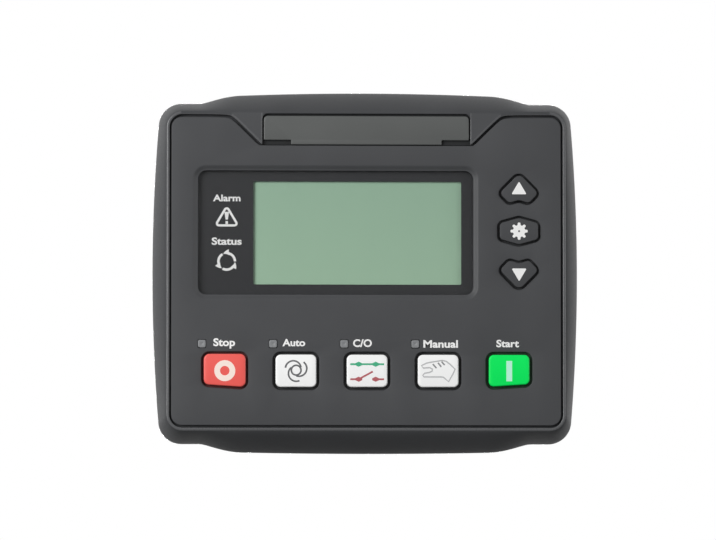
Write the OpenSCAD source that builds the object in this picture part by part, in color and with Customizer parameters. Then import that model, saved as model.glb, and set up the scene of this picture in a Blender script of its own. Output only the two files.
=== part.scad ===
// Controller for a generating set, made to be clamped into a panel cut-out.
// X runs to the right seen from the front, Z up, and the front faces -Y.
// The origin is the middle of the plane where the gasket meets the panel.

/* [Bezel] */
// Width over the bowed sides
bezel_w = 140.6; // [136:0.2:160]
// Height over the raised middle of the top and bottom edges
bezel_h = 119.4; // [116:0.2:135]
// Radius of the bow of each side
side_bow_r = 480; // [400:10:900]
// Radius of the four outer corners
corner_r = 6.5; // [4:0.5:10]
// Drop from the raised middle to the corners' shoulders
shoulder_drop = 3.6; // [1.5:0.1:5]
// Half the width of the raised middle where its flanks end on the shoulders
flank_foot = 54.5; // [50:0.5:60]
// Half the width of the raised middle where its flanks begin
flank_head = 40; // [20:0.5:46]
// Crown of the raised middle
crown = 0.8; // [0:0.1:1.4]
// Width of the rolled band at the sides, from the lip out
side_band = 4.5; // [3:0.1:5.5]
// Width of the rolled band at the top and bottom, from the lip out
top_band = 7.1; // [5.5:0.05:9]
// How straight the roll falls from the lip to the outline: 1 is a quarter of an ellipse, 2 a flat slope
roll_bend = 1.6; // [1:0.1:2]
// Straight edge of the flange behind the roll
edge_t = 1.8; // [0.8:0.1:4]
// Thickness of the lip round the fascia
lip_t = 1; // [0.5:0.1:1.5]
// Width of the ledge that the fascia lies on
ledge_w = 4.5; // [3:0.1:6]
// Thickness of the rim at the back, which carries the display board
rim_t = 1.6; // [1:0.1:3]

/* [Fascia] */
// Thickness of the fascia
fascia_t = 2; // [1.2:0.1:3]
// How far the fascia sits above the middle of the bezel
fascia_z = 0.2; // [0:0.05:0.8]
// How far the fascia lies behind the lip
fascia_set = 0.4; // [0.2:0.1:1]
// Width of the groove between lip and fascia
groove = 0.8; // [0.6:0.1:1.6]
// Corner radius of the fascia
fascia_r = 3.5; // [1:0.1:6]
// Wall of the tongue beside the nameplate, at its lower corners
tongue_wall = 0.3; // [0.2:0.05:2]
// How far the nameplate's recess reaches above the pocket's upper edge, into the lip
plate_rise = 0.25; // [0:0.05:0.5]
// Width of the ledge that carries the fascia along the tongue
tongue_ledge = 2.4; // [1.5:0.1:3]
// Gap between the tongue's lower edge and the fascia
tongue_gap = 0.25; // [0.15:0.05:0.6]

/* [Nameplate] */
// Width of the nameplate
plate_w = 67.6; // [55:0.1:68]
// Height of the nameplate
plate_h = 9.2; // [7:0.1:10]
// Thickness of the nameplate
plate_t = 1.2; // [0.8:0.1:1.4]
// Gap round the nameplate
plate_gap = 0.45; // [0.2:0.05:0.6]
// Length of each prising slot
prise_w = 9; // [5:0.5:14]
// Height of each prising slot
prise_h = 1.5; // [0.8:0.1:2.5]

/* [Display] */
// Width of the window
window_w = 90.4; // [84:0.1:94]
// Height of the window
window_h = 40.7; // [38:0.1:46]
// Place of the window's centre across
window_x = -10.1; // [-11:0.1:-9]
// Distance of the window below the tongue
window_drop = 9.15; // [8:0.05:11]
// Corner radius of the window
window_r = 2.6; // [1:0.1:5]
// How far the window lies behind the fascia's face
window_set = 0.8; // [0.3:0.1:1.2]
// Width of the dished edge round the window
dish_w = 2; // [0.8:0.1:3]
// Flange of the lens behind the fascia
lens_flange = 1.4; // [0.8:0.1:2]
// Thickness of that flange
lens_flange_t = 1; // [0.8:0.1:1.6]
// Width of the visible display
view_w = 68.6; // [60:0.1:70]
// Height of the visible display
view_h = 34; // [30:0.1:35]
// Place of the display's centre across
view_x = -2.9; // [-4:0.1:-2]
// Border of the display glass outside the visible part
glass_border = 5; // [4:0.1:5.4]
// Thickness of the display glass
glass_t = 2.8; // [1.5:0.1:4]
// Thickness of the backlight
backlight_t = 3; // [2:0.1:5]
// Sheet thickness of the display frame
frame_t = 0.6; // [0.4:0.1:1]

/* [Keys] */
// Distance between neighbouring keys of the row
key_pitch = 23.4; // [21:0.1:24]
// How far the row of keys sits to the right of the middle
key_shift = 0.2; // [0:0.1:0.5]
// Height of the key row's middle above the fascia's lower edge
key_rise = 17.9; // [17.1:0.1:19.1]
// Width of a key cap
key_w = 13.4; // [11:0.1:14.5]
// Height of a key cap
key_h = 10.7; // [8:0.1:12]
// Corner radius of a key cap
key_r = 1.7; // [0.8:0.1:3]
// Slant of the stop and start keys' lower edges
key_slant = 0.9; // [0:0.1:1.5]
// Gap round each key
key_gap = 0.95; // [0.5:0.05:1.2]
// How far each key stands proud of the fascia
key_proud = 1; // [0.8:0.1:2]
// Flange of each key behind the fascia
key_flange = 0.6; // [0.4:0.1:1]
// Travel of each key
key_travel = 0.6; // [0.3:0.05:0.8]
// Place of the menu keys across
nav_x = 50.3; // [49.5:0.1:51]
// Half the width of a menu key
nav_half_w = 6.1; // [5:0.1:6.6]
// Side of a key switch
switch_w = 6; // [5:0.1:7]
// Height of a key switch's body
switch_t = 3.5; // [3:0.1:4]
// Radius of a switch plunger
plunger_r = 1.7; // [1.2:0.1:2]
// Side of a mode lamp
lamp_w = 2.6; // [1.8:0.1:3]

/* [Boards] */
// Thickness of both circuit boards
board_t = 1.6; // [1:0.1:2.4]
// Length of the spacers between the boards
spacer_l = 11; // [10:0.5:14]
// Width over the flats of a spacer
spacer_af = 5; // [4.5:0.1:6]
// Height of the pluggable terminals' headers
header_l = 11.4; // [10:0.1:14]
// Pitch of the terminals
way = 5.08; // [3.81:0.01:5.08]
// Terminals in one plug
ways = 8; // [4:1:8]

/* [Housing] */
// Overlap of the flange beyond the housing at the sides
flange_w = 12.05; // [11:0.05:14]
// Overlap of the flange beyond the housing at the raised middle
flange_h = 11.45; // [11:0.05:13]
// Wall of the housing
wall = 2; // [1.5:0.1:2.4]
// Corner radius of the housing
housing_r = 3; // [2:0.1:5]
// Depth of the middle block behind the terminals' shoulder
block_l = 10; // [8:0.5:20]
// Height of the middle block
block_h = 56; // [50:0.5:58]
// Thickness of the gasket
gasket_t = 1.5; // [0.8:0.1:3]
// Width that the gasket keeps clear of the flange's edge
gasket_inset = 4.2; // [3:0.1:5]

/* [Clips] */
// Gap between gasket and jack screw, for the panel
panel_room = 6; // [4.5:0.5:8]
// Height of a clip
clip_h = 18; // [14:0.5:24]
// Length of a clip along the housing
clip_l = 10.6; // [9.5:0.1:11.5]
// Reach of a clip beside the housing
clip_reach = 9; // [8:0.1:11]
// Diameter of a jack screw
jack_d = 4; // [3:0.1:5]

/* [Hidden] */
ROW_KEYS = ["stop", "auto", "breaker", "manual", "start"];
NAV_KEYS = ["up", "menu", "down"];
KEYS = concat(ROW_KEYS, NAV_KEYS);
PLUGS = ["upper_left", "upper_right", "lower_left", "lower_right"];

// Clearances between pieces that are fitted together
slip = 0.15;
board_gap = 0.5;
running_gap = 0.3;
cut = 0.5;

// Planes of the stack, from the panel forward
y_flange = -gasket_t;
y_board_back = y_flange - rim_t;
y_board = y_board_back - board_t;
y_glass_back = y_board - backlight_t;
y_glass = y_glass_back - glass_t;
y_frame = y_glass - frame_t;
y_ledge = y_frame - lens_flange_t;
y_fascia = y_ledge - fascia_t;
y_lip = y_fascia - fascia_set;
y_window = y_fascia + window_set;
y_key = y_fascia - key_proud;
y_plate = y_lip + 0.15;

// Planes of the stack, from the panel back
y_power = y_board_back + spacer_l;
y_power_back = y_power + board_t;
y_shoulder = y_power_back + header_l - 2 * slip;
y_rear = y_shoulder + block_l;

// Outlines that several pieces share
pocket_w = bezel_w - 2 * (side_band + lip_t);
pocket_h = bezel_h - 2 * (top_band + lip_t);
fascia_w = pocket_w - 2 * groove;
fascia_h = pocket_h - 2 * groove;
cavity_w = pocket_w - 2 * ledge_w;
cavity_h = pocket_h - 2 * ledge_w;
housing_w = bezel_w - 2 * flange_w;
housing_h = bezel_h - 2 * flange_h;
inner_w = housing_w - 2 * wall;
inner_h = housing_h - 2 * wall;
tongue_w = plate_w + 2 * (plate_gap + tongue_wall);
tongue_z = fascia_z + pocket_h / 2 + plate_rise - plate_gap - plate_h;
tongue_r = 3.2;
window_z = tongue_z - window_drop - window_h / 2;
key_z = fascia_z - fascia_h / 2 + key_rise;

// Fastening points
post_r = 4;
post_x = inner_w / 2 - post_r - 2 * slip;
post_z = inner_h / 2 - post_r - 2 * slip;
post_pad = 2 * post_r + 1;
frame_edge = view_x + view_w / 2 + glass_border + slip + frame_t;
spacer_edge = 6.2;
spacer_shift = 2;
spacer_rise = 13;
spacer_high = window_z + spacer_rise;
spacer_low = -15;
spacer_spots = [
    [-inner_w / 2 + spacer_edge + spacer_shift, spacer_high],
    [(frame_edge + nav_x - switch_w / 2) / 2, spacer_high],
    [-inner_w / 2 + spacer_edge, spacer_low], [inner_w / 2 - spacer_edge, spacer_low]];
screw_r = 1.45;
head_r = 2.8;
head_t = 2.2;

// Key shapes, as corners [x, z, radius] about each key's own centre
nav_shapes = [
    [[0, 5.1, 1.7], [-nav_half_w, -1.1, 1.3], [-3.2, -4.1, 1.2],
     [0, -3.15, 2.4], [3.2, -4.1, 1.2], [nav_half_w, -1.1, 1.3]],
    [[0, 4.15, 2.4], [-nav_half_w, 2.45, 1.2], [-nav_half_w, -2.45, 1.2],
     [0, -4.15, 2.4], [nav_half_w, -2.45, 1.2], [nav_half_w, 2.45, 1.2]],
    [[0, -5.1, 1.7], [nav_half_w, 1.1, 1.3], [3.2, 4.1, 1.2],
     [0, 3.15, 2.4], [-3.2, 4.1, 1.2], [-nav_half_w, 1.1, 1.3]]
];
nav_z = [for (rise = [14.2, 0.55, -13.45]) window_z + rise];
lamp_x = -7.5;
lamp_flange = 0.4;
lamp_z = key_h / 2 + key_gap + key_flange + running_gap + lamp_w / 2 + lamp_flange;
guide_w = 6.6;
guide_x = view_x - view_w / 2 - glass_border - frame_t - 2 * slip - guide_w / 2;
guide_z = [5.5, -8.9];

// Terminal rows
row_z = (inner_h + block_h) / 4 + 0.6;
plug_w = ways * way + 1;
plug_x = plug_w / 2 + 2.6;
plug_h = 11;
plug_l = 10.5;
socket_h = 7.6;
shroud = 1;

// Clip places
clip_t = 2.2;
jack_wall = 2;
jack_x = housing_w / 2 + clip_reach - jack_d / 2 - jack_wall;
hook_l = 1.4;
hook_h = 4;
clip_y1 = y_shoulder - 1;
clip_y0 = clip_y1 - clip_l;

function unit(v) = v / norm(v);

// Corners [x, z, radius] of a rectangle about the origin, counter-clockwise
function rect(w, h, r) = [[-w / 2, -h / 2, r], [w / 2, -h / 2, r], [w / 2, h / 2, r], [-w / 2, h / 2, r]];

function moved(c, x, z) = [for (p = c) [p[0] + x, p[1] + z, p[2]]];

// Arc of k steps that rounds the corner c between its neighbours p and n
function corner_arc(p, c, n, r, k) =
    let (u = unit(p - c), v = unit(n - c), half = acos(u * v) / 2)
    let (m = c + unit(u + v) * r / sin(half), t = r / tan(half))
    let (a = c + u * t - m, b = c + v * t - m)
    let (a0 = atan2(a[1], a[0]), turn = (atan2(b[1], b[0]) - a0 + 540) % 360 - 180)
    [for (i = [0:k]) m + r * [cos(a0 + turn * i / k), sin(a0 + turn * i / k)]];

// Points of a polygon with every corner rounded by its own radius
function rounded(c, k = 5) =
    let (n = len(c), xy = [for (p = c) [p[0], p[1]]])
    [for (i = [0:n - 1]) each corner_arc(xy[(i + n - 1) % n], xy[i], xy[(i + 1) % n], c[i][2], k)];

// The same corners with every edge moved inward by d, or outward where d is negative
function inset(c, d) =
    let (n = len(c), xy = [for (p = c) [p[0], p[1]]])
    [for (i = [0:n - 1])
        let (e1 = unit(xy[i] - xy[(i + n - 1) % n]), e2 = unit(xy[(i + 1) % n] - xy[i]))
        let (n1 = [-e1[1], e1[0]], n2 = [-e2[1], e2[0]], q = xy[i] + d * (n1 + n2) / (1 + n1 * n2))
        [q[0], q[1], max(0.2, c[i][2] + (cross(e1, e2) > 0 ? -d : d))]];

function at_depth(points, y) = [for (p = points) [p[0], y, p[1]]];

// Mean of a list of points
function middle(points) = [for (p = points) 1] * points / len(points);

// Closed skin through rings of matching points, from the front ring to the back one
module loft(rings) {
    n = len(rings[0]);
    m = len(rings);
    sides = [for (i = [0:m - 2], j = [0:n - 1])
        let (a = i * n + j, b = i * n + (j + 1) % n)
        each [[a, b, b + n], [a, b + n, a + n]]];
    front = [for (j = [0:n - 1]) [m * n, (j + 1) % n, j]];
    back = [for (j = [0:n - 1]) [m * n + 1, (m - 1) * n + j, (m - 1) * n + (j + 1) % n]];
    points = concat([for (r = rings) each r], [middle(rings[0]), middle(rings[m - 1])]);
    polyhedron(points, concat(front, sides, back), convexity = 6);
}

// Flat outline in X and Z, filled from one depth to another
module slab(y0, y1) {
    translate([0, y1, 0]) rotate([90, 0, 0]) linear_extrude(y1 - y0) children();
}

module block(x, z, w, h, y0, y1, r = 0) {
    if (r > 0)
        slab(y0, y1) polygon(rounded(moved(rect(w, h, r), x, z)));
    else
        translate([x - w / 2, y0, z - h / 2]) cube([w, y1 - y0, h]);
}

module rod(x, z, r, y0, y1, sides = 40) {
    translate([x, y0, z]) rotate([-90, 0, 0]) cylinder(r = r, h = y1 - y0, $fn = sides);
}

module corners_at(x, z) {
    for (sx = [-1, 1], sz = [-1, 1]) translate([sx * x, 0, sz * z]) children();
}

module spots_at(spots) {
    for (p = spots) translate([p[0], 0, p[1]]) children();
}

// Pan-head screw on the Y axis, head at y0 and shank towards +Y or -Y
module screw(y0, shank, r, way_y) {
    head0 = way_y > 0 ? y0 - head_t : y0;
    difference() {
        union() {
            rod(0, 0, head_r, head0, head0 + head_t);
            rod(0, 0, r, way_y > 0 ? y0 - cut : y0 - shank, way_y > 0 ? y0 + shank : y0 + cut);
        }
        block(0, 0, 3.4, 0.8, way_y > 0 ? head0 - cut : head0 + head_t - 0.9,
            way_y > 0 ? head0 + 0.9 : head0 + head_t + cut);
        block(0, 0, 0.8, 3.4, way_y > 0 ? head0 - cut : head0 + head_t - 0.9,
            way_y > 0 ? head0 + 0.9 : head0 + head_t + cut);
    }
}

// One quarter of the outer outline: bowed side, corner arc, then shoulder, flank and crown
function outer_quarter(ns, nc, nt) =
    let (shoulder = bezel_h / 2 - shoulder_drop, cz = shoulder - corner_r)
    let (bow_x = bezel_w / 2 - side_bow_r, phi = asin(cz / (side_bow_r - corner_r)))
    let (cx = bow_x + (side_bow_r - corner_r) * cos(phi))
    concat(
        [for (i = [0:ns]) [bow_x + side_bow_r * cos(phi * i / ns), side_bow_r * sin(phi * i / ns)]],
        [for (i = [1:nc])
            let (a = phi + (90 - phi) * i / nc)
            [cx + corner_r * cos(a), cz + corner_r * sin(a)]],
        [for (i = [1:nt]) let (x = cx * (1 - i / nt)) [x, top_edge(x)]]);

// Height of the upper edge: a crowned middle that flows down to the shoulders
function top_edge(x) =
    let (v = pow(max(0, min(1, (flank_foot - x) / (flank_foot - flank_head))), 0.7))
    let (rise = shoulder_drop - crown * pow(min(x, flank_head) / flank_head, 2))
    bezel_h / 2 - shoulder_drop + rise * v * v * (3 - 2 * v);

// One quarter of the lip's outline, with as many points on each stretch
function lip_quarter(ns, nc, nt) =
    let (w = pocket_w / 2 + lip_t, h = pocket_h / 2 + lip_t, r = fascia_r + groove + lip_t)
    concat(
        [for (i = [0:ns]) [w, (h - r) * i / ns]],
        [for (i = [1:nc]) [w - r + r * cos(90 * i / nc), h - r + r * sin(90 * i / nc)]],
        [for (i = [1:nt]) [(w - r) * (1 - i / nt), h]]);

function raised(points, z) = [for (p = points) [p[0], p[1] + z]];

// A quarter mirrored to the whole outline, counter-clockwise from the right
function whole(q) =
    let (n = len(q) - 1, up = concat(q, [for (i = [n - 1:-1:0]) [-q[i][0], q[i][1]]]))
    concat(up, [for (i = [2 * n - 1:-1:1]) [up[i][0], -up[i][1]]]);

// Fascia or pocket outline, with the tongue's notch in its upper edge
function bay(w, h, r, half, z) =
    let (low = fascia_z - h / 2, high = fascia_z + h / 2, head = half + high - z)
    [[-w / 2, low, r], [w / 2, low, r], [w / 2, high, r], [head, high, tongue_r],
     [half, z, 0.6], [-half, z, 0.6], [-head, high, tongue_r], [-w / 2, high, r]];

roll_steps = 6;
boss_r = 3.4;
tongue_back = 2;
boss_l = 6.2;
pilot = screw_r + slip / 2;
recess_r = 1.7;

module front_bezel() {
    outer = whole(outer_quarter(5, 6, 14));
    lip = raised(whole(lip_quarter(5, 6, 14)), fascia_z);
    roll = y_flange - edge_t - y_lip;
    rings = concat(
        [for (i = [0:roll_steps])
            let (a = 90 * i / roll_steps, w = pow(sin(a), roll_bend), d = 1 - pow(cos(a), roll_bend))
            at_depth(lip * (1 - w) + outer * w, y_lip + roll * d)],
        [at_depth(outer, y_flange)]);
    color("#505153") difference() {
        union() {
            difference() {
                loft(rings);
                slab(y_lip - cut, y_ledge)
                    polygon(rounded(bay(pocket_w, pocket_h, fascia_r + groove, tongue_w / 2, tongue_z)));
                slab(y_ledge - cut, y_ledge + tongue_back + cut)
                    polygon(rounded(bay(cavity_w, cavity_h, fascia_r,
                        tongue_w / 2 + tongue_ledge, tongue_z - tongue_ledge)));
                block(0, fascia_z, cavity_w, cavity_h, y_ledge + tongue_back, y_board_back, fascia_r);
                block(0, 0, inner_w - 2 * post_pad, inner_h, y_board_back - cut, y_flange + cut);
                block(0, 0, inner_w, inner_h - 2 * post_pad, y_board_back - cut, y_flange + cut);
                slab(y_lip - cut, y_plate + plate_t) polygon(rounded(nameplate_recess()));
            }
            corners_at(post_x, post_z) rod(0, 0, boss_r, y_flange - boss_l, y_flange);
        }
        corners_at(post_x, post_z) rod(0, 0, pilot, y_flange - boss_l + 1, y_flange + cut);
    }
}

function nameplate_recess() =
    let (w = plate_w / 2 + plate_gap, top = tongue_z + plate_h + plate_gap)
    [[-w, tongue_z - cut, 0.2], [w, tongue_z - cut, 0.2], [w, top, recess_r], [-w, top, recess_r]];

module nameplate() {
    w = plate_w / 2;
    inner = w - prise_w;
    foot = tongue_z + prise_h;
    top = tongue_z + plate_h;
    color("#5d5f5e") slab(y_plate, y_plate + plate_t) polygon(rounded([
        [-inner, tongue_z, 0.2], [inner, tongue_z, 0.2], [inner, foot, 0.2], [w, foot, 0.2],
        [w, top, recess_r - plate_gap], [-w, top, recess_r - plate_gap],
        [-w, foot, 0.2], [-inner, foot, 0.2]]));
}

function window_corners() = moved(rect(window_w, window_h, window_r), window_x, window_z);

module fascia_panel() {
    win = window_corners();
    notch = tongue_w / 2 - tongue_gap + groove * sqrt(2);
    color("#4f5052") difference() {
        slab(y_fascia, y_ledge)
            polygon(rounded(bay(fascia_w, fascia_h, fascia_r, notch, tongue_z - tongue_gap)));
        slab(y_fascia - cut, y_ledge + cut) polygon(rounded(inset(win, -slip)));
        loft([
            at_depth(rounded(inset(win, -dish_w)), y_fascia - cut),
            at_depth(rounded(inset(win, -dish_w)), y_fascia),
            at_depth(rounded(inset(win, -dish_w * 0.35)), y_fascia + window_set / 2),
            at_depth(rounded(inset(win, -slip)), y_window)]);
        for (k = KEYS)
            slab(y_fascia - cut, y_ledge + cut) polygon(rounded(inset(key_corners(k), -key_gap)));
        for (i = [0:3])
            block(row_x(i) + lamp_x, key_z + lamp_z, lamp_w + 2 * slip, lamp_w + 2 * slip,
                y_fascia - cut, y_ledge + cut);
    }
}

module window_lens() {
    color("#343537", 0.9) {
        slab(y_window, y_ledge + cut) polygon(rounded(window_corners()));
        slab(y_ledge, y_frame) polygon(rounded(inset(window_corners(), -lens_flange)));
    }
}

glass_w = view_w + 2 * glass_border;
glass_h = view_h + 2 * glass_border;

module lcd_frame() {
    w = glass_w + 2 * slip;
    h = glass_h + 2 * slip;
    color("silver") difference() {
        block(view_x, window_z, w + 2 * frame_t, h + 2 * frame_t, y_frame, y_board);
        block(view_x, window_z, w, h, y_glass, y_board + cut);
        block(view_x, window_z, view_w + 2, view_h + 2, y_frame - cut, y_glass + cut);
    }
}

module lcd_glass() {
    color("#97b29c") block(view_x, window_z, glass_w, glass_h, y_glass, y_glass_back);
}

module backlight() {
    color("ivory") block(view_x, window_z, glass_w, glass_h, y_glass_back, y_board);
}

chip_t = 0.8;

module indicator_guides() {
    color("whitesmoke") for (z = guide_z)
        block(guide_x, window_z + z, guide_w, guide_w, y_frame, y_board - chip_t, 1);
}

module mode_lamps() {
    color("#7d7e80") for (i = [0:3]) translate([row_x(i) + lamp_x, 0, key_z + lamp_z]) {
        block(0, 0, lamp_w, lamp_w, y_fascia, y_ledge + cut);
        block(0, 0, lamp_w + 2 * lamp_flange, lamp_w + 2 * lamp_flange, y_ledge, y_frame);
        block(0, 0, lamp_w - 0.4, lamp_w - 0.4, y_frame - cut, y_board - chip_t);
    }
}

module lamp_chips() {
    color("khaki") {
        for (i = [0:3]) block(row_x(i) + lamp_x, key_z + lamp_z, 2, 1.25, y_board - chip_t, y_board);
        for (z = guide_z) block(guide_x, window_z + z, 2, 1.25, y_board - chip_t, y_board);
    }
}

function row_x(i) = (i - 2) * key_pitch + key_shift;

// Centre of a key by name
function key_place(k) =
    let (i = search([k], KEYS)[0])
    i < 5 ? [row_x(i), key_z] : [nav_x, nav_z[i - 5]];

// Corners of a key's cap in place; the outer keys' lower edges fall towards the middle
function key_corners(k) =
    let (i = search([k], KEYS)[0], p = key_place(k))
    let (cap = rect(key_w, key_h, key_r))
    let (lift = [i == 0 ? key_slant : 0, i == 4 ? key_slant : 0, 0, 0])
    let (row = [for (c = [0:3]) [cap[c][0], cap[c][1] + lift[c], cap[c][2]]])
    moved(i < 5 ? row : nav_shapes[i - 5], p[0], p[1]);

key_colors = ["#f2605c", "white", "white", "white", "#12e05c", "#47484a", "#47484a", "#47484a"];
stem_r = 2;
plunger_out = 1;
y_plunger = y_board - switch_t - plunger_out;

module key(k) {
    c = key_corners(k);
    p = key_place(k);
    color(key_colors[search([k], KEYS)[0]]) {
        loft([
            at_depth(rounded(inset(c, 0.55)), y_key),
            at_depth(rounded(inset(c, 0.16)), y_key + 0.16),
            at_depth(rounded(c), y_key + 0.55),
            at_depth(rounded(c), y_ledge + cut)]);
        slab(y_ledge, y_frame) polygon(rounded(inset(c, -key_gap - key_flange)));
        rod(p[0], p[1], stem_r, y_frame - cut, y_plunger);
    }
}

plunger_l = plunger_out + 1.8;

module plunger(k) {
    p = key_place(k);
    color("black") rod(p[0], p[1], plunger_r, y_plunger, y_plunger + plunger_l);
}

module key_switches() {
    color("dimgray") for (k = KEYS) let (p = key_place(k)) difference() {
        block(p[0], p[1], switch_w, switch_w, y_board - switch_t, y_board);
        rod(p[0], p[1], plunger_r + running_gap, y_board - switch_t - cut,
            y_plunger + plunger_l + key_travel + running_gap);
    }
}

module display_board() {
    color("darkgreen") difference() {
        block(0, fascia_z, cavity_w - 2 * board_gap, cavity_h - 2 * board_gap, y_board, y_board_back, 2);
        corners_at(post_x, post_z) rod(0, 0, boss_r + board_gap, y_board - cut, y_board_back + cut);
        spots_at(spacer_spots) rod(0, 0, screw_r + slip, y_board - cut, y_board_back + cut);
    }
}

processor_x = 10;
processor_z = 8;
processor_w = 14;
processor_t = 1.4;

module control_chip() {
    color("#222222") block(processor_x, processor_z, processor_w, processor_w,
        y_board_back, y_board_back + processor_t);
}

link_x = -8;
link_z = -20;
link_w = 33;
link_h = 5;

module board_header() {
    color("black") block(link_x, link_z, link_w, link_h, y_board_back, y_power);
}

module board_spacers() {
    color("gold") spots_at(spacer_spots) difference() {
        rod(0, 0, spacer_af / 2 / cos(30), y_board_back, y_power, 6);
        rod(0, 0, pilot, y_board_back - cut, y_power + cut);
    }
}

screw_l = 5.6;

module board_screws() {
    color("silver") spots_at(spacer_spots) {
        screw(y_board, screw_l, screw_r, 1);
        screw(y_power_back, screw_l, screw_r, -1);
    }
}

power_w = inner_w - 3;
power_h = inner_h - 2.4;

module power_board() {
    notch = post_r + board_gap;
    color("darkgreen") difference() {
        block(0, 0, power_w, power_h, y_power, y_power_back);
        corners_at(power_w / 2, power_h / 2)
            block(0, 0, power_w - 2 * (post_x - notch), power_h - 2 * (post_z - notch),
                y_power - cut, y_power_back + cut);
        spots_at(spacer_spots) rod(0, 0, screw_r + slip, y_power - cut, y_power_back + cut);
    }
}

relay_x = -18;
relay_z = 11;
relay_pitch = 18;
relay_w = 15.5;
relay_h = 19;
relay_l = 15;

module relays() {
    color("#2b5fa8") for (i = [-1:1])
        block(relay_x + i * relay_pitch, relay_z, relay_w, relay_h,
            y_power_back, y_power_back + relay_l, 0.8);
}

can_x = -26;
can_z = -15;
can_pitch = 12;
can_r = 5;
can_l = 14;

module capacitors() {
    color("#26282b") for (i = [-1:1])
        rod(can_x + i * can_pitch, can_z, can_r, y_power_back, y_power_back + can_l);
}

// Two E-shaped core halves round a wound bobbin
coil_x = 6;
coil_z = -14;
coil_w = 13;
coil_h = 16;
coil_l = 16;
core_w = 20;
core_h = 5;
base_w = 16;
base_h = 18;
base_t = 3;
coil_end = 2;

module transformer() {
    color("#3a3a3a") translate([coil_x, y_power_back, coil_z]) {
        block(0, 0, core_w, core_h, 2 * coil_end, coil_l - coil_end);
        block(0, 0, coil_w, coil_h, coil_end, coil_l, 1.5);
        block(0, 0, base_w, base_h, 0, base_t);
    }
}

cell_x = 36;
cell_z = 14;
cell_r = 8;
cell_t = 3.2;

module cell_holder() {
    color("#1d1d1f") difference() {
        rod(cell_x, cell_z, cell_r + 1.6, y_power_back, y_power_back + cell_t + 0.6);
        rod(cell_x, cell_z, cell_r + slip, y_power_back + 0.8, y_power_back + cell_t + 0.6 + cut);
        block(cell_x, cell_z + cell_r, 8, 8, y_power_back + 0.8, y_power_back + cell_t + 0.6 + cut);
    }
}

module backup_cell() {
    color("gainsboro") rod(cell_x, cell_z, cell_r, y_power_back + 0.8, y_power_back + 0.8 + cell_t);
}

// Side and row signs of a plug by name: x to the right, z up
function plug_side(p) = [p == "upper_left" || p == "lower_left" ? -1 : 1, p[0] == "u" ? 1 : -1];

y_header = y_power_back + header_l;
header_floor = 2;
pin_l = 2.2;
entry_w = 3;
entry_h = 3.2;
well_r = 1.8;
well_l = 3;
well_y = y_header + 3.6;

function way_x(i) = (i - (ways - 1) / 2) * way;

module terminal_headers() {
    w = plug_w + 2 * slip;
    h = socket_h + 2 * slip;
    color("#3c8a4a") for (p = PLUGS) let (s = plug_side(p)) difference() {
        block(s[0] * plug_x, s[1] * row_z, w + 2 * shroud, h + 2 * shroud, y_power_back, y_header);
        block(s[0] * plug_x, s[1] * row_z, w, h, y_power_back + header_floor, y_header + cut);
    }
}

module terminal_pins() {
    floor_y = y_power_back + header_floor;
    color("silver") for (p = PLUGS, i = [0:ways - 1]) let (s = plug_side(p))
        block(s[0] * plug_x + way_x(i), s[1] * row_z, 1, 1, floor_y, floor_y + pin_l);
}

// Plug with a wire entry to the rear and a screw well to the outer side of each terminal
module plug(p) {
    s = plug_side(p);
    face_z = s[1] * (row_z + plug_h / 2);
    nose_y = y_power_back + header_floor + pin_l + slip;
    color("#46a054") difference() {
        union() {
            block(s[0] * plug_x, s[1] * row_z, plug_w, socket_h, nose_y, y_header + cut);
            block(s[0] * plug_x, s[1] * row_z, plug_w, plug_h, y_header, y_header + plug_l);
        }
        for (i = [0:ways - 1]) translate([s[0] * plug_x + way_x(i), 0, 0]) {
            block(0, s[1] * (row_z - 1.6), entry_w, entry_h, y_header + plug_l - 6, y_header + plug_l + cut);
            translate([0, well_y, face_z - s[1] * well_l]) mirror([0, 0, s[1] < 0 ? 1 : 0])
                cylinder(r = well_r, h = well_l + cut, $fn = 24);
        }
    }
}

module terminal_screws() {
    color("silver") for (p = PLUGS, i = [0:ways - 1])
        let (s = plug_side(p), base = s[1] * (row_z + plug_h / 2 - well_l))
        translate([s[0] * plug_x + way_x(i), well_y, base]) mirror([0, 0, s[1] < 0 ? 1 : 0]) difference() {
            cylinder(r = well_r - slip, h = 1.6, $fn = 24);
            translate([-2, -0.3, 0.9]) cube([4, 0.6, 1]);
        }
}

usb_x = 36;
usb_z = -13;
usb_w = 12;
usb_h = 10.8;
usb_t = 0.5;
usb_l = block_l + header_l;

module usb_socket() {
    color("silver") difference() {
        block(usb_x, usb_z, usb_w, usb_h, y_power_back, y_power_back + usb_l, 0.8);
        block(usb_x, usb_z, usb_w - 2 * usb_t, usb_h - 2 * usb_t,
            y_power_back - cut, y_power_back + usb_l + cut, 0.5);
    }
}

module usb_insert() {
    gap = usb_t + slip;
    color("#1a1a1c") {
        block(usb_x, usb_z, usb_w - 2 * gap, usb_h - 2 * gap, y_power_back, y_power_back + usb_l - 9.5, 0.4);
        block(usb_x, usb_z, 5.6, 3.2, y_power_back + 1, y_power_back + usb_l - 1.2);
    }
}

vent_w = 1.8;
vent_h = 22;
vent_pitch = 4.4;
vent_x = -16;
head_seat = y_shoulder - 2.4;
slot_y0 = clip_y0 + 2.4;
slot_l = 4.4;
slot_z = clip_h / 2 - hook_h;

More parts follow.
